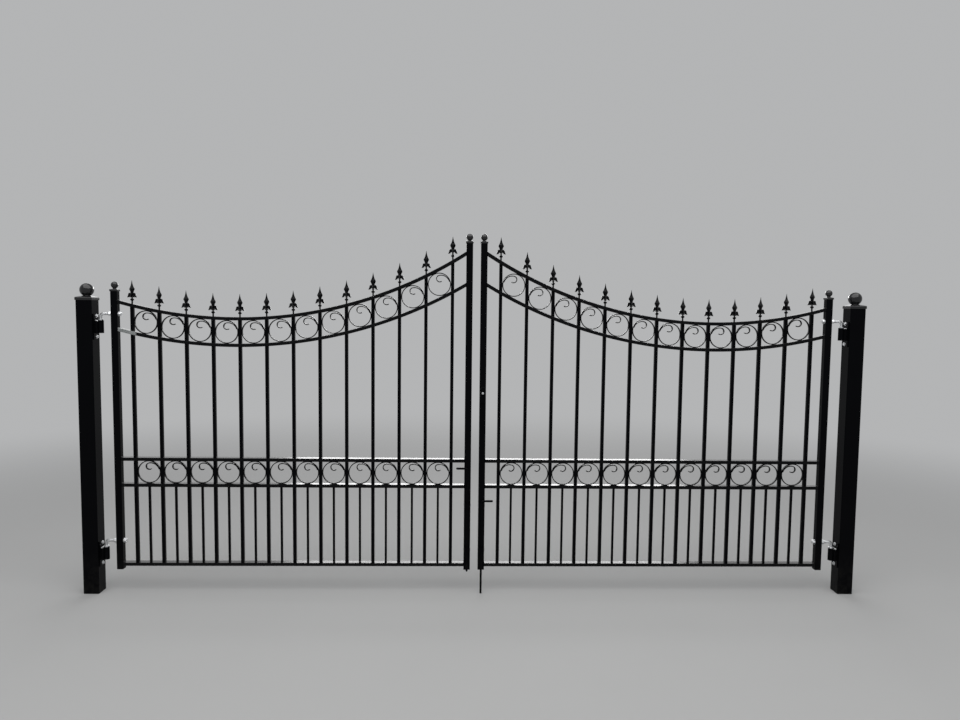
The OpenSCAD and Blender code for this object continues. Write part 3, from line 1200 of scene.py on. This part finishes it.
@dataclass
class HingeSet:
    """J-shaped hinge bolts with their nuts, washers and thrust collars.

    The arm's tip gives places back from its end and how far the bar is drawn in there, the nut's
    chamfer heights and the share of the corners that is left.
    """

    half: Half
    bolt: float = 15.9
    sides: int = 32
    bend: float = 16.0
    bend_spans: int = 16
    arm_over: float = 38.0
    arm_end: float = 18.0
    arm_tip: tuple[tuple[float, float], ...] = ((0.6, 1.3), (0.0, 2.2))
    pin_lift: float = 6.0
    pin_ease: float = 1.2
    thread_start: float = 108.0
    thread_gap: float = 1.2
    pitch: float = 2.0
    turn_steps: int = 6
    run_in: int = 12
    thread_depth: float = 0.95
    thread_shape: tuple[float, float] = (1.25, 3.2)
    nut_flats: float = 24.0
    nut_height: float = 13.0
    nut_ease: float = 1.1
    nut_chamfer: tuple[tuple[float, float], ...] = ((0.0, 0.885), (0.8, 0.96), (1.6, 1.01))
    washer: float = 28.0
    washer_thick: float = 2.5
    washer_edge: float = 0.5
    collar: float = 28.0
    collar_height: float = 8.0
    collar_gap: float = 0.2
    foot_edge: float = 0.6
    top_edge: float = 0.8
    play: float = 0.1

    def build(self) -> None:
        """Builds both bolts and what is threaded on them."""
        nuts = Draft()
        for box in (HingeBox(self.half, hinge) for hinge in Hinge):
            self.build_bolt(box)
            self.draw_nuts(nuts, self.arm_height(box))
            self.draw_collar(nuts, box)
        nuts.build(self.half, "hinge_nut_set", self.half.leaf, ZINC, ["hinge_nuts"])

    @property
    def bore(self) -> float:
        """Radius of the hole in the nuts, the washers and the collar."""
        return self.bolt / 2 + self.play

    def arm_height(self, box: HingeBox) -> float:
        """Returns the height of the bolt's arm over a box."""
        return box.middle + box.barrel_end + self.arm_over

    def build_bolt(self, box: HingeBox) -> None:
        """Builds one bolt: pin, bend and threaded arm, as one skin.

        Args:
            box: The hinge box that it stands in.
        """
        arm_z = self.arm_height(box)
        foot_z = box.middle - box.barrel_end + self.pin_lift
        radius, ease = self.bolt / 2, self.pin_ease
        end_x = self.half.layout.rail_start + self.arm_end
        bar = RoundBar(self.sides)
        for lift, size in ((0, radius - ease), (ease, radius), (arm_z - self.bend - foot_z, radius)):
            bar.ring(box.pin_x, foot_z + lift, math.pi / 2, size)
        centre = complex(box.pin_x + self.bend, arm_z - self.bend)
        angles = [math.pi - math.pi / 2 * k / self.bend_spans for k in range(1, self.bend_spans + 1)]
        bar.bend(centre, self.bend, angles, -1, radius)
        bar.ring(self.thread_start - 1, arm_z, 0, radius)
        bar.rings += self.thread_rings(arm_z, end_x - self.thread_gap)
        for back, inset in self.arm_tip:
            bar.ring(end_x - back, arm_z, 0, radius - inset)
        draft = Draft()
        draft.skin(bar.rings)
        name = f"{box.hinge.value}_bolt"
        draft.build(self.half, f"{name}_threaded", self.half.leaf, ZINC, [name])

    def thread_rings(self, arm_z: float, thread_end: float) -> list[Ring]:
        """Winds the thread on the bolt's arm.

        Args:
            arm_z: Height of the arm.
            thread_end: Where the thread ends.

        Returns:
            The rings of the threaded length, in order along the arm.
        """
        rings = []
        for k in range(int((thread_end - self.thread_start) / self.pitch * self.turn_steps) + 1):
            x = self.thread_start + k * self.pitch / self.turn_steps
            place = in_plane(x, arm_z, 0)
            depth = self.thread_depth * min(1.0, k / self.run_in)
            ring = []
            for i in range(self.sides):
                angle = math.tau * i / self.sides
                out = place.across * math.cos(angle) + Y * math.sin(angle)
                ring.append(place.origin + out * (self.bolt / 2 - depth * self.groove(x, angle)))
            rings.append(ring)
        return rings

    def groove(self, x: float, angle: float) -> float:
        """Works out the thread's groove.

        Args:
            x: Place along the arm.
            angle: Angle round the arm, in radians.

        Returns:
            How deep the groove is there, from 0 to 1.
        """
        turn = (x / self.pitch - angle / math.tau) % 1.0
        middle, flank = self.thread_shape
        return min(1.0, max(0.0, middle - abs(turn - 0.5) * flank))

    def draw_nuts(self, draft: Draft, arm_z: float) -> None:
        """Draws the nuts and washers on both sides of the stile.

        Args:
            draft: Sheet to draw on.
            arm_z: Height of the bolt's arm.
        """
        inner = self.half.layout.rail_start
        for face, out in ((inner, 1), (inner - self.half.layout.stile_w, -1)):
            foot = Station(Vector((face, 0, arm_z)), Y * out, Z)
            self.draw_washer(draft, foot)
            self.draw_nut(draft, foot.moved(self.washer_thick))

    def draw_collar(self, draft: Draft, box: HingeBox) -> None:
        """Draws the thrust collar that lies on a box's barrel.

        Args:
            draft: Sheet to draw on.
            box: The hinge box.
        """
        bore, rim, top = self.bore, self.collar / 2, self.collar_height
        low, high = self.foot_edge, self.top_edge
        draft.stack(upright(box.pin_x, 0, box.middle + box.barrel_end + self.collar_gap), [
            (0, circle(bore)), (0, circle(rim - low)), (low, circle(rim)), (top - high, circle(rim)),
            (top, circle(rim - high)), (top, circle(bore + low)), (top - low, circle(bore)),
        ], closed=True)

    def draw_washer(self, draft: Draft, foot: Station) -> None:
        """Draws a washer.

        Args:
            draft: Sheet to draw on.
            foot: Station on the face that it lies on.
        """
        bore, rim, top, edge = self.bore, self.washer / 2, self.washer_thick, self.washer_edge
        draft.stack(foot, [
            (0, circle(bore)), (0, circle(rim)), (top - edge, circle(rim)),
            (top, circle(rim - edge)), (top, circle(bore)),
        ], closed=True)

    def draw_nut(self, draft: Draft, foot: Station) -> None:
        """Draws a chamfered nut.

        Args:
            draft: Sheet to draw on.
            foot: Station on the washer that it bears on.
        """
        corner, height, ease = self.nut_flats / math.sqrt(3), self.nut_height, self.nut_ease
        faces = [*self.nut_chamfer, *((height - rise, share) for rise, share in reversed(self.nut_chamfer))]
        draft.stack(foot, [
            (0, circle(self.bore)),
            *((rise, hexagon(self.nut_flats, corner * share)) for rise, share in faces),
            (height, circle(self.bore + ease)), (height - ease, circle(self.bore)),
        ], closed=True)


# Leaves


@dataclass
class LeafFrame:
    """Stiles with their caps, and the five rails."""

    half: Half
    sweep: Sweep
    stile_wall: float = 3.0
    corner: float = 4.0
    rim: float = 0.5
    rail_height: float = 19.05
    rail_wall: float = 3.2
    band: float = 152.4
    rail_steps: int = 110
    rail_ease: float = 1.5
    straight: tuple[str, ...] = ("upper_mid_rail", "lower_mid_rail", "bottom_rail")
    cap_overhang: float = 3.0
    side_bead: WeldBead = WeldBead(2.0)
    side_bite: float = 0.6
    top_bead: WeldBead = WeldBead(1.8)
    top_shift: float = 0.5
    bead_spans: int = 8

    def build(self) -> None:
        """Builds the frame of the leaf."""
        layout = self.half.layout
        self.build_stile("hinge_stile", layout.hinge_x)
        self.build_stile("meeting_stile", layout.meet_x)
        self.build_caps()
        self.build_arch_rail("top_rail", 0.0, RAIL)
        self.build_arch_rail("second_rail", self.band, WORN_RAIL if self.half.side is Side.LEFT else RAIL)
        for node in self.straight:
            NodeDressing(self.rail_ease).dress(self.half, node, RAIL)
        self.build_welds()

    def build_stile(self, node: str, x: float) -> None:
        """Builds a stile's tube, open at the foot.

        Args:
            node: The node that it stands for.
            x: Its centre.
        """
        foot, top = self.half.heights(node)
        outer = self.half.layout.stile_w
        inner = outer - 2 * self.stile_wall
        bend, rim, height = self.corner - self.stile_wall, self.rim, top - foot
        hollow = rounded_rect(inner, inner, bend, steps=6)
        shell = rounded_rect(outer, outer, self.corner, steps=6)
        lip_in = rounded_rect(inner + 2 * rim, inner + 2 * rim, bend + rim, steps=6)
        lip_out = rounded_rect(outer - 2 * rim, outer - 2 * rim, self.corner - rim, steps=6)
        draft = Draft()
        draft.stack(upright(x, 0, foot), [
            (rim, hollow), (0, lip_in), (0, lip_out), (rim, shell), (height, shell), (height, hollow),
        ], closed=True)
        draft.build(self.half, f"{node}_tube", self.half.leaf, COAT, [node])

    def build_caps(self) -> None:
        """Builds the cast caps of both stiles."""
        layout = self.half.layout
        tube = layout.stile_w
        width = tube + 2 * self.cap_overhang
        cap = BallCap(width, skirt=11, rise=6, tube=tube, ball=39.6, ball_height=24.5, ease=2.6)
        draft = Draft()
        for node, x in (("hinge_stile", layout.hinge_x), ("meeting_stile", layout.meet_x)):
            cap.draw(draft, x, self.half.heights(node)[1] + cap.plate)
        draft.build(self.half, "stile_cap_castings", self.half.leaf, CAPS, ["stile_caps"])

    def build_arch_rail(self, node: str, below: float, finish: Finish) -> None:
        """Builds a channel rail that follows the sweep.

        Args:
            node: The node that it stands for.
            below: How far its top face lies below the top rail's.
            finish: Its finish.
        """
        layout = self.half.layout
        outline = channel(layout.stile_w, self.rail_height, self.rail_wall)
        rings = []
        for k in range(self.rail_steps + 1):
            x = layout.rail_start + (layout.rail_end - layout.rail_start) * k / self.rail_steps
            rings.append([Vector((x, p.real, self.sweep.height(x, below - p.imag))) for p in outline])
        draft = Draft()
        draft.skin(rings)
        draft.build(self.half, f"{node}_channel", self.half.leaf, finish, [node])

    def build_welds(self) -> None:
        """Builds the weld beads where the rails end on the stiles."""
        layout = self.half.layout
        reach, spans = layout.stile_w / 2, self.bead_spans
        draft = Draft()
        for x in (layout.rail_start, layout.rail_end):
            tops = [self.sweep.height(x), self.sweep.height(x, self.band)]
            tops += [self.half.heights(node)[1] for node in self.straight]
            for top in tops:
                for y in (self.side_bite - reach, reach - self.side_bite):
                    path = [Vector((x, y, top - self.rail_height * k / spans)) for k in range(spans + 1)]
                    self.side_bead.lay(draft, path, X)
                across = [reach * (k / spans - 1) + self.top_shift for k in range(2 * spans + 1)]
                self.top_bead.lay(draft, [Vector((x, y, top)) for y in across], X)
        draft.build(self.half, "rail_welds", self.half.leaf, COAT, sharp=60)


@dataclass
class PicketRow:
    """The full-height pickets and the short ones between them."""

    half: Half
    ease: float = 1.1
    short_ease: float = 0.9

    def build(self) -> None:
        """Dresses both rows."""
        NodeDressing(self.ease).dress(self.half, "pickets", COAT)
        NodeDressing(self.short_ease).dress(self.half, "puppy_pickets", COAT)


@dataclass
class FinialRow:
    """Cast spear points with four drooping barbs, one on the top rail over each picket.

    The blade's and the barbs' depths are measured down from the tip, the knop's heights up from it.
    """

    half: Half
    sweep: Sweep
    height: float = 133.0
    stem: float = 4.5
    stem_top: float = -74.0
    blade: tuple[tuple[float, float], ...] = (
        (0, 0.7), (6, 1.5), (12, 2.5), (18, 3.8), (24, 5.2), (29, 6.7), (34, 8.4), (38, 10.1), (41, 11.7),
        (44, 13.4), (47, 14.8), (49.5, 15.5), (52, 15.6), (54.5, 14.8), (57, 13.4), (60, 11.8), (63, 10.4),
        (66, 9.5), (69, 9.0), (72.5, 8.7), (76, 8.6),
    )
    ridge: float = 1.12
    waist_depth: float = 56.0
    waist_length: float = 20.0
    waist_round: float = 0.5
    knop: tuple[tuple[float, float], ...] = (
        (4.5, -103.4), (5.6, -104.0), (7.4, -104.7), (9.0, -106.0), (10.1, -108.0), (10.5, -110.0),
        (10.1, -112.0), (9.0, -114.0), (7.4, -115.3), (5.6, -116.0), (4.8, -117.2), (4.5, -119),
        (4.5, -136),
    )
    barb_top: tuple[tuple[float, float], ...] = (
        (2, 71.5), (13.5, 71.6), (16.5, 72.1), (18.6, 73.6), (19.8, 76), (20.6, 79), (21.8, 84),
        (23.8, 90), (25.6, 94.3), (27, 97.2),
    )
    barb_foot: tuple[tuple[float, float], ...] = (
        (2, 93), (5, 92.6), (6.4, 90), (8.2, 88.8), (10.0, 89.4), (12.3, 92.8), (15.5, 95.8),
        (20, 97.6), (25.5, 98), (27, 97.4),
    )
    barb_thick: float = 9.0
    barb_taper: float = 0.4
    barb_round: float = 0.34
    barb_edge: float = 0.8
    barb_steps: int = 22

    def build(self) -> None:
        """Builds the row of finials."""
        draft = Draft()
        for x in self.half.layout.bars:
            foot = upright(x, 0, self.sweep.height(x) + self.height)
            self.draw_blade(draft, foot)
            draft.lathe(foot, [(self.stem, self.stem_top), *self.knop], 32)
            for quarter in range(4):
                self.draw_barb(draft, foot, quarter * math.pi / 2)
        draft.build(self.half, "finial_castings", self.half.leaf, CAST, ["finials"], sharp=48)

    def draw_blade(self, draft: Draft, foot: Station) -> None:
        """Draws the four-sided blade, whose ridges face the front, the back and the sides.

        Args:
            draft: Sheet to draw on.
            foot: Station at the finial's tip.
        """
        levels = []
        for depth, half_width in self.blade:
            waist = min(1.0, max(0.0, (depth - self.waist_depth) / self.waist_length))
            power = 2 / (self.ridge + self.waist_round * waist)
            outline = []
            for point in circle(1.0, 32):
                across = math.copysign(abs(point.real) ** power, point.real)
                deep = math.copysign(abs(point.imag) ** power, point.imag)
                outline.append(half_width * complex(across, deep))
            levels.append((-depth, outline))
        draft.stack(foot, levels)

    def draw_barb(self, draft: Draft, foot: Station, turn: float) -> None:
        """Draws one barb, lofted outwards between its upper and its lower line.

        Args:
            draft: Sheet to draw on.
            foot: Station at the finial's tip.
            turn: Direction that the barb points in, in radians.
        """
        out = X * math.cos(turn) + Y * math.sin(turn)
        side = Z.cross(out)
        first, last = self.barb_top[0][0], self.barb_top[-1][0]
        rings = []
        for k in range(self.barb_steps + 1):
            reach = first + (last - first) * k / self.barb_steps
            top, low = along_line(self.barb_top, reach), along_line(self.barb_foot, reach)
            thick = self.barb_thick * (1 - self.barb_taper * (reach / last) ** 3)
            deep = max(low - top, self.barb_edge)
            spot = foot.origin + out * reach - Z * (top + low) / 2
            outline = rounded_rect(thick, deep, min(thick, deep) * self.barb_round)
            rings.append(Station(spot, side, Z).place(outline))
        draft.skin(rings)


@dataclass(frozen=True)
class ShortWeld:
    """A short bead along a ring, laid a little inside both faces of its bar."""

    bead: WeldBead
    steps: range
    inset: float

    def lay(self, draft: Draft, spot: complex, turn: float, face: float) -> None:
        """Lays the bead on both faces.

        Args:
            draft: Sheet to draw on.
            spot: The point that its steps start from, in the plane of the leaf.
            turn: Angle of that point on the ring, in radians.
            face: How far the bar's faces lie from its middle.
        """
        heading = cmath.rect(1.0, turn + math.pi / 2)
        for y in (self.inset - face, face - self.inset):
            spots = [spot + heading * step for step in self.steps]
            self.bead.lay(draft, [Vector((point.real, y, point.imag)) for point in spots], Y)


@dataclass
class ScrollBand:
    """Two bands of scrolls: a ring whose bar laps inside itself and curls to a hook.

    Angles are in degrees, from +X.
    """

    half: Half
    sweep: Sweep
    thick: float = 5.0
    depth: float = 12.7
    edge: float = 0.9
    ring: float = 66.625
    seat: float = 0.05
    rail_height: float = 19.05
    lap_angle: float = 15.0
    lap_offset: float = 10.0
    turn_angle: float = 104.0
    curl: float = 18.8
    curl_sweep: float = 204.0
    weld_in: float = 0.6
    end_ease: float = 0.5
    end_edge: float = 0.54
    ring_steps: int = 80
    lap_steps: int = 30
    curl_steps: int = 56
    seat_weld: ShortWeld = ShortWeld(WeldBead(1.7), range(-6, 7, 2), 0.8)
    lap_weld: ShortWeld = ShortWeld(WeldBead(1.4), range(-1, 12, 3), 0.6)
    lap_weld_in: float = 0.5

    def build(self) -> None:
        """Builds the band under the top rail and the band in the middle."""
        layout = self.half.layout
        below = self.rail_height + self.ring + self.seat
        arch = [(x, self.sweep.height(x, below), self.sweep.slope(x, below)) for x in layout.gaps]
        floor = self.half.heights("lower_mid_rail")[1]
        middle = [(x, floor + self.ring + self.seat, 0.0) for x in layout.gaps]
        for name, places in (("arch", arch), ("mid", middle)):
            bars, welds = Draft(), Draft()
            for x, z, tilt in places:
                self.draw_scroll(bars, complex(x, z))
                self.draw_welds(welds, complex(x, z), tilt)
            bars.build(self.half, f"{name}_scroll_bars", self.half.leaf, SCROLL, [f"{name}_scrolls"])
            welds.build(self.half, f"{name}_scroll_welds", self.half.leaf, COAT, sharp=70)

    def draw_scroll(self, draft: Draft, here: complex) -> None:
        """Draws one scroll: the ring, then the bar that laps inside it and curls.

        Args:
            draft: Sheet to draw on.
            here: Centre of its ring, in the plane of the leaf.
        """
        flat = rounded_rect(self.thick, self.depth, self.edge)
        eased = 2 * self.end_ease
        end = rounded_rect(self.thick - eased, self.depth - eased, self.end_edge)
        mean = self.ring - self.thick / 2
        ring = [(here, mean, math.tau * k / self.ring_steps) for k in range(self.ring_steps)]
        draft.skin([self.on_arc(*spot).place(flat) for spot in ring], closed=True)
        path = self.lap_path(here, mean)
        outlines = [end, *[flat] * (len(path) - 2), end]
        draft.skin([self.on_arc(*spot).place(outline) for spot, outline in zip(path, outlines)])

    def on_arc(self, centre: complex, radius: float, angle: float) -> Station:
        """Returns the bar's station on an arc."""
        spot = centre + cmath.rect(radius, angle)
        return in_plane(spot.real, spot.imag, angle + math.pi / 2)

    def lap_path(self, here: complex, mean: float) -> list[tuple[complex, float, float]]:
        """Works out the arcs of the lap and the curl, which touch each other.

        Args:
            here: Centre of the ring.
            mean: Radius of the ring's middle line.

        Returns:
            The arc's centre, its radius and the angle of each station, in order.
        """
        lap = mean - self.thick + self.weld_in - self.lap_offset
        start, turn = math.radians(self.lap_angle), math.radians(self.turn_angle)
        sweep = math.radians(self.curl_sweep)
        lap_centre = here + cmath.rect(self.lap_offset, start)
        curl_centre = lap_centre + cmath.rect(lap - self.curl, turn)
        lap_angles = [start + (turn - start) * k / self.lap_steps for k in range(self.lap_steps + 1)]
        curl_angles = [turn + sweep * (k + 1) / self.curl_steps for k in range(self.curl_steps)]
        path = [(lap_centre, lap, angle) for angle in lap_angles]
        return path + [(curl_centre, self.curl, angle) for angle in curl_angles]

    def draw_welds(self, draft: Draft, here: complex, tilt: float) -> None:
        """Draws the small welds that hold a ring to its pickets, its rails and its own lap.

        Args:
            draft: Sheet to draw on.
            here: Centre of the ring, in the plane of the leaf.
            tilt: Slope of the rails, in radians.
        """
        face = self.depth / 2
        for turn in (0.0, math.pi / 2 + tilt, math.pi, -math.pi / 2 + tilt):
            self.seat_weld.lay(draft, here + cmath.rect(self.ring, turn), turn, face)
        start = math.radians(self.lap_angle)
        spot = here + cmath.rect(self.ring - self.thick - self.lap_weld_in, start)
        self.lap_weld.lay(draft, spot, start, face)


@dataclass
class DropRod:
    """Drop rod with its bent handle, in two strap guides on the meeting stile.

    The tip gives heights over its end and how far the rod is drawn in there.
    """

    half: Half
    rod: float = 12.7
    sides: int = 40
    length: float = 616.0
    tip: tuple[tuple[float, float], ...] = ((0, 3), (0.6, 2.4), (6, 0), (7, 0))
    bend: float = 10.0
    bend_spans: int = 16
    reach: float = 67.0
    end_rings: int = 11
    end_spans: float = 10.4
    y: float = -29.55
    guide_height: float = 30.0
    guide_ease: float = 0.8
    guide_bead: WeldBead = WeldBead(1.9)
    bead_inset: float = 3.0
    bead_bite: float = 1.2

    def build(self) -> None:
        """Dresses the guides, builds the rod and lays the guides' welds."""
        NodeDressing(self.guide_ease).dress(self.half, "rod_guides", COAT)
        self.build_rod()
        self.build_guide_welds()

    def build_rod(self) -> None:
        """Builds the rod: tip, straight, bend and round-ended handle."""
        x = self.half.layout.meet_x
        foot = self.half.heights("drop_rod")[0]
        handle = foot + self.length
        radius = self.rod / 2
        bar = RoundBar(self.sides, self.y)
        for lift, inset in self.tip:
            bar.ring(x, foot + lift, math.pi / 2, radius - inset)
        angles = [math.pi / 2 * k / self.bend_spans for k in range(self.bend_spans + 1)]
        bar.bend(complex(x - self.bend, handle - self.bend), self.bend, angles, 1, radius)
        end = x - self.reach + radius
        for k in range(self.end_rings):
            angle = math.pi / 2 * k / self.end_spans
            bar.ring(end - radius * math.sin(angle), handle, math.pi, radius * math.cos(angle))
        draft = Draft()
        draft.skin(bar.rings)
        draft.build(self.half, "drop_rod_bar", self.half.rod, COAT, ["drop_rod"])

    def build_guide_welds(self) -> None:
        """Builds the welds down both legs of each guide."""
        low, high = self.half.heights("rod_guides")
        reach = self.half.layout.stile_w / 2
        rise = self.guide_height - 2 * self.bead_inset
        draft = Draft()
        for foot in (low + self.bead_inset, high - self.guide_height + self.bead_inset):
            for side in (-1, 1):
                x = self.half.layout.meet_x + side * (reach - self.bead_bite)
                path = [Vector((x, -reach, foot + rise * k / 10)) for k in range(11)]
                self.guide_bead.lay(draft, path, X)
        draft.build(self.half, "guide_welds", self.half.leaf, COAT, sharp=60)


@dataclass
class GateLock:
    """Surface lock on the front of the right meeting stile.

    The case's levels give a height over the stile and how far the outline is drawn in there, the
    slot's a height, its width and its length. The turned pieces' profiles are radius and height.
    """

    half: Half
    width: float = 36.0
    height: float = 100.0
    z: float = 1178.0
    core_z: float = 1190.0
    screw_lifts: tuple[float, float] = (-38.0, 40.0)
    case: tuple[tuple[float, float], ...] = (
        (0, 0.3), (0.5, 0), (8.5, 0), (10.2, 0.5), (11.6, 1.5), (12.6, 3.0), (13, 5.0),
    )
    collar: tuple[tuple[float, float], ...] = (
        (15, 12), (15, 15.2), (14.6, 16.6), (13.6, 17.6), (12.2, 18), (9, 18), (8.2, 17.4), (7, 17.4),
    )
    core: tuple[tuple[float, float], ...] = ((6.5, 16), (6.5, 20.3), (5.9, 21))
    slot: tuple[tuple[float, float, float], ...] = ((21, 2.4, 8.4), (18, 2.2, 8.2))
    screw: tuple[tuple[float, float], ...] = ((4.2, 12), (4.2, 13.4), (3.6, 14.2), (2.4, 14.6), (0.8, 14.7))

    def on_stile(self, z: float) -> Station:
        """Returns a station on the stile's front face, at a height."""
        layout = self.half.layout
        return facing_front(layout.meet_x, -layout.stile_w / 2, z)

    def build(self) -> None:
        """Builds the case, the key cylinder and the screws."""
        case, core, screws = Draft(), Draft(), Draft()
        outlines = [(height, stadium(self.width, self.height, inset)) for height, inset in self.case]
        case.stack(self.on_stile(self.z), outlines)
        case.lathe(self.on_stile(self.core_z), self.collar, steps=64)
        levels = [(height, circle(radius)) for radius, height in self.core]
        levels += [(height, key_slot(width, length)) for height, width, length in self.slot]
        core.stack(self.on_stile(self.core_z), levels)
        for lift in self.screw_lifts:
            screws.lathe(self.on_stile(self.z + lift), self.screw, steps=32)
        case.build(self.half, "lock_case", self.half.leaf, COAT, ["lock"])
        core.build(self.half, "lock_cylinder", self.half.leaf, ZINC)
        screws.build(self.half, "lock_screws", self.half.leaf, COAT)


# Studio


@dataclass(frozen=True)
class SoftLamp:
    """Soft rectangular lamp. Lengths are in metres, the power in watts."""

    name: str
    place: Spot
    size: tuple[float, float]
    power: float
    aim: Spot

    def hang(self) -> None:
        """Hangs the lamp in its place, turned to what it faces."""
        lamp = bpy.data.lights.new(self.name, "AREA")
        lamp.shape = "RECTANGLE"
        lamp.size, lamp.size_y = self.size
        lamp.energy = self.power
        rig = bpy.data.objects.new(self.name, lamp)
        rig.location = self.place
        rig.rotation_mode = "QUATERNION"
        rig.rotation_quaternion = (Vector(self.aim) - Vector(self.place)).to_track_quat("-Z", "Y")
        bpy.context.scene.collection.objects.link(rig)
        LOG.info("%s: lamp", self.name)


@dataclass
class Studio:
    """Floor, light and camera. Lengths are in metres, angles in radians."""

    eye: Spot = (2.12652, -4.24616, 1.69050)
    yaw: float = 0.02818
    pitch: float = 0.07276
    roll: float = -0.01134
    lens: float = 27.431
    fill: Colour = (0.22, 0.225, 0.235)
    backdrop: Colour = (0.455, 0.46, 0.465)
    floor: Colour = (0.45, 0.45, 0.445)
    floor_centre: Spot = (2.2, 0.0, 0.0)
    floor_reach: float = 90.0
    fade: tuple[float, float] = (3.0, 8.0)
    lamps: tuple[SoftLamp, ...] = (
        SoftLamp("overhead", (2.2, -2.6, 5.5), (10.0, 7.4), 400.0, (2.2, -2.6, 0.0)),
        SoftLamp("behind", (2.3, 12.0, 5.7), (17.4, 5.0), 285.0, (2.3, 0.0, 5.7)),
        SoftLamp("behind, middle", (2.78, 11.8, 3.92), (8.6, 1.5), 320.0, (2.78, 0.0, 3.92)),
    )

    def build(self) -> None:
        """Builds the studio round the gate."""
        bpy.context.scene.view_settings.view_transform = "Standard"
        self.build_camera()
        self.build_world()
        self.build_floor()
        for lamp in self.lamps:
            lamp.hang()

    def build_camera(self) -> None:
        """Sets the camera where the photograph was taken from."""
        camera = bpy.data.cameras.new("camera")
        camera.sensor_width = 36.0
        camera.lens = self.lens
        camera.clip_end = 400.0
        rig = bpy.data.objects.new("camera", camera)
        turn = (
            Matrix.Rotation(-self.yaw, 4, "Z")
            @ Matrix.Rotation(math.pi / 2 - self.pitch, 4, "X")
            @ Matrix.Rotation(-self.roll, 4, "Z")
        )
        rig.matrix_world = Matrix.Translation(self.eye) @ turn
        bpy.context.scene.collection.objects.link(rig)
        bpy.context.scene.camera = rig

    def build_world(self) -> None:
        """Fills the air with an even light, in front of a paler backdrop."""
        world = bpy.data.worlds.new("air")
        bpy.context.scene.world = world
        world.use_nodes = True
        nodes, links = world.node_tree.nodes, world.node_tree.links
        rays = nodes.new("ShaderNodeLightPath")
        seen = rays.outputs["Is Camera Ray"]
        for name in ("Is Glossy Ray", "Is Transmission Ray"):
            either = nodes.new("ShaderNodeMath")
            either.operation = "MAXIMUM"
            links.new(seen, either.inputs[0])
            links.new(rays.outputs[name], either.inputs[1])
            seen = either.outputs[0]
        choice = nodes.new("ShaderNodeMix")
        choice.data_type = "RGBA"
        links.new(seen, choice.inputs[0])
        colours = [socket for socket in choice.inputs if socket.type == "RGBA"]
        colours[0].default_value = (*self.fill, 1.0)
        colours[1].default_value = (*self.backdrop, 1.0)
        shown = next(socket for socket in choice.outputs if socket.type == "RGBA")
        links.new(shown, nodes["Background"].inputs["Color"])

    def build_floor(self) -> None:
        """Lays the floor, which passes into the backdrop's colour far away."""
        mesh = bpy.data.meshes.new("floor")
        centre = Vector(self.floor_centre)
        ring = [centre + Vector((p.real, p.imag, 0)) for p in circle(self.floor_reach, 64)]
        mesh.from_pydata(ring, [], [tuple(range(len(ring)))])
        mesh.materials.append(self.floor_material())
        floor = bpy.data.objects.new("floor", mesh)
        bpy.context.scene.collection.objects.link(floor)

    def floor_material(self) -> bpy.types.Material:
        """Makes the floor's material: matt near the gate, the backdrop's colour far away.

        Returns:
            The material.
        """
        shader = Shader("pale floor")
        shader.surface.inputs["Roughness"].default_value = 0.85
        shader.surface.inputs["Specular IOR Level"].default_value = 0.2
        tone = shader.mix(shader.noise(1.3, 3.0), self.floor, scaled(self.floor, 0.97))
        shader.feed(shader.surface.inputs["Base Color"], tone)
        glow = shader.add("Emission", {"Color": (*self.backdrop, 1.0)})
        offset = shader.add("VectorMath", {0: shader.coords, 1: self.floor_centre})
        offset.operation = "SUBTRACT"
        distance = shader.add("VectorMath", {0: offset.outputs[0]})
        distance.operation = "LENGTH"
        far = shader.ramp(distance.outputs["Value"], *self.fade)
        blend = shader.add("MixShader", {0: far, 1: shader.surface.outputs[0], 2: glow.outputs[0]})
        shader.feed(shader.nodes["Material Output"].inputs["Surface"], blend.outputs[0])
        return shader.material


def main() -> None:
    """Builds the gate, half by half, and the studio round it."""
    logging.basicConfig(level=logging.INFO, format="%(message)s")
    layout = Layout.measured()
    sweep = Sweep(layout)
    for side in Side:
        half = Half(side, layout)
        GatePost(half).build()
        HingeSet(half).build()
        LeafFrame(half, sweep).build()
        PicketRow(half).build()
        FinialRow(half, sweep).build()
        ScrollBand(half, sweep).build()
        DropRod(half).build()
        if side is Side.RIGHT:
            GateLock(half).build()
    Studio().build()


if __name__ == "__main__":
    main()
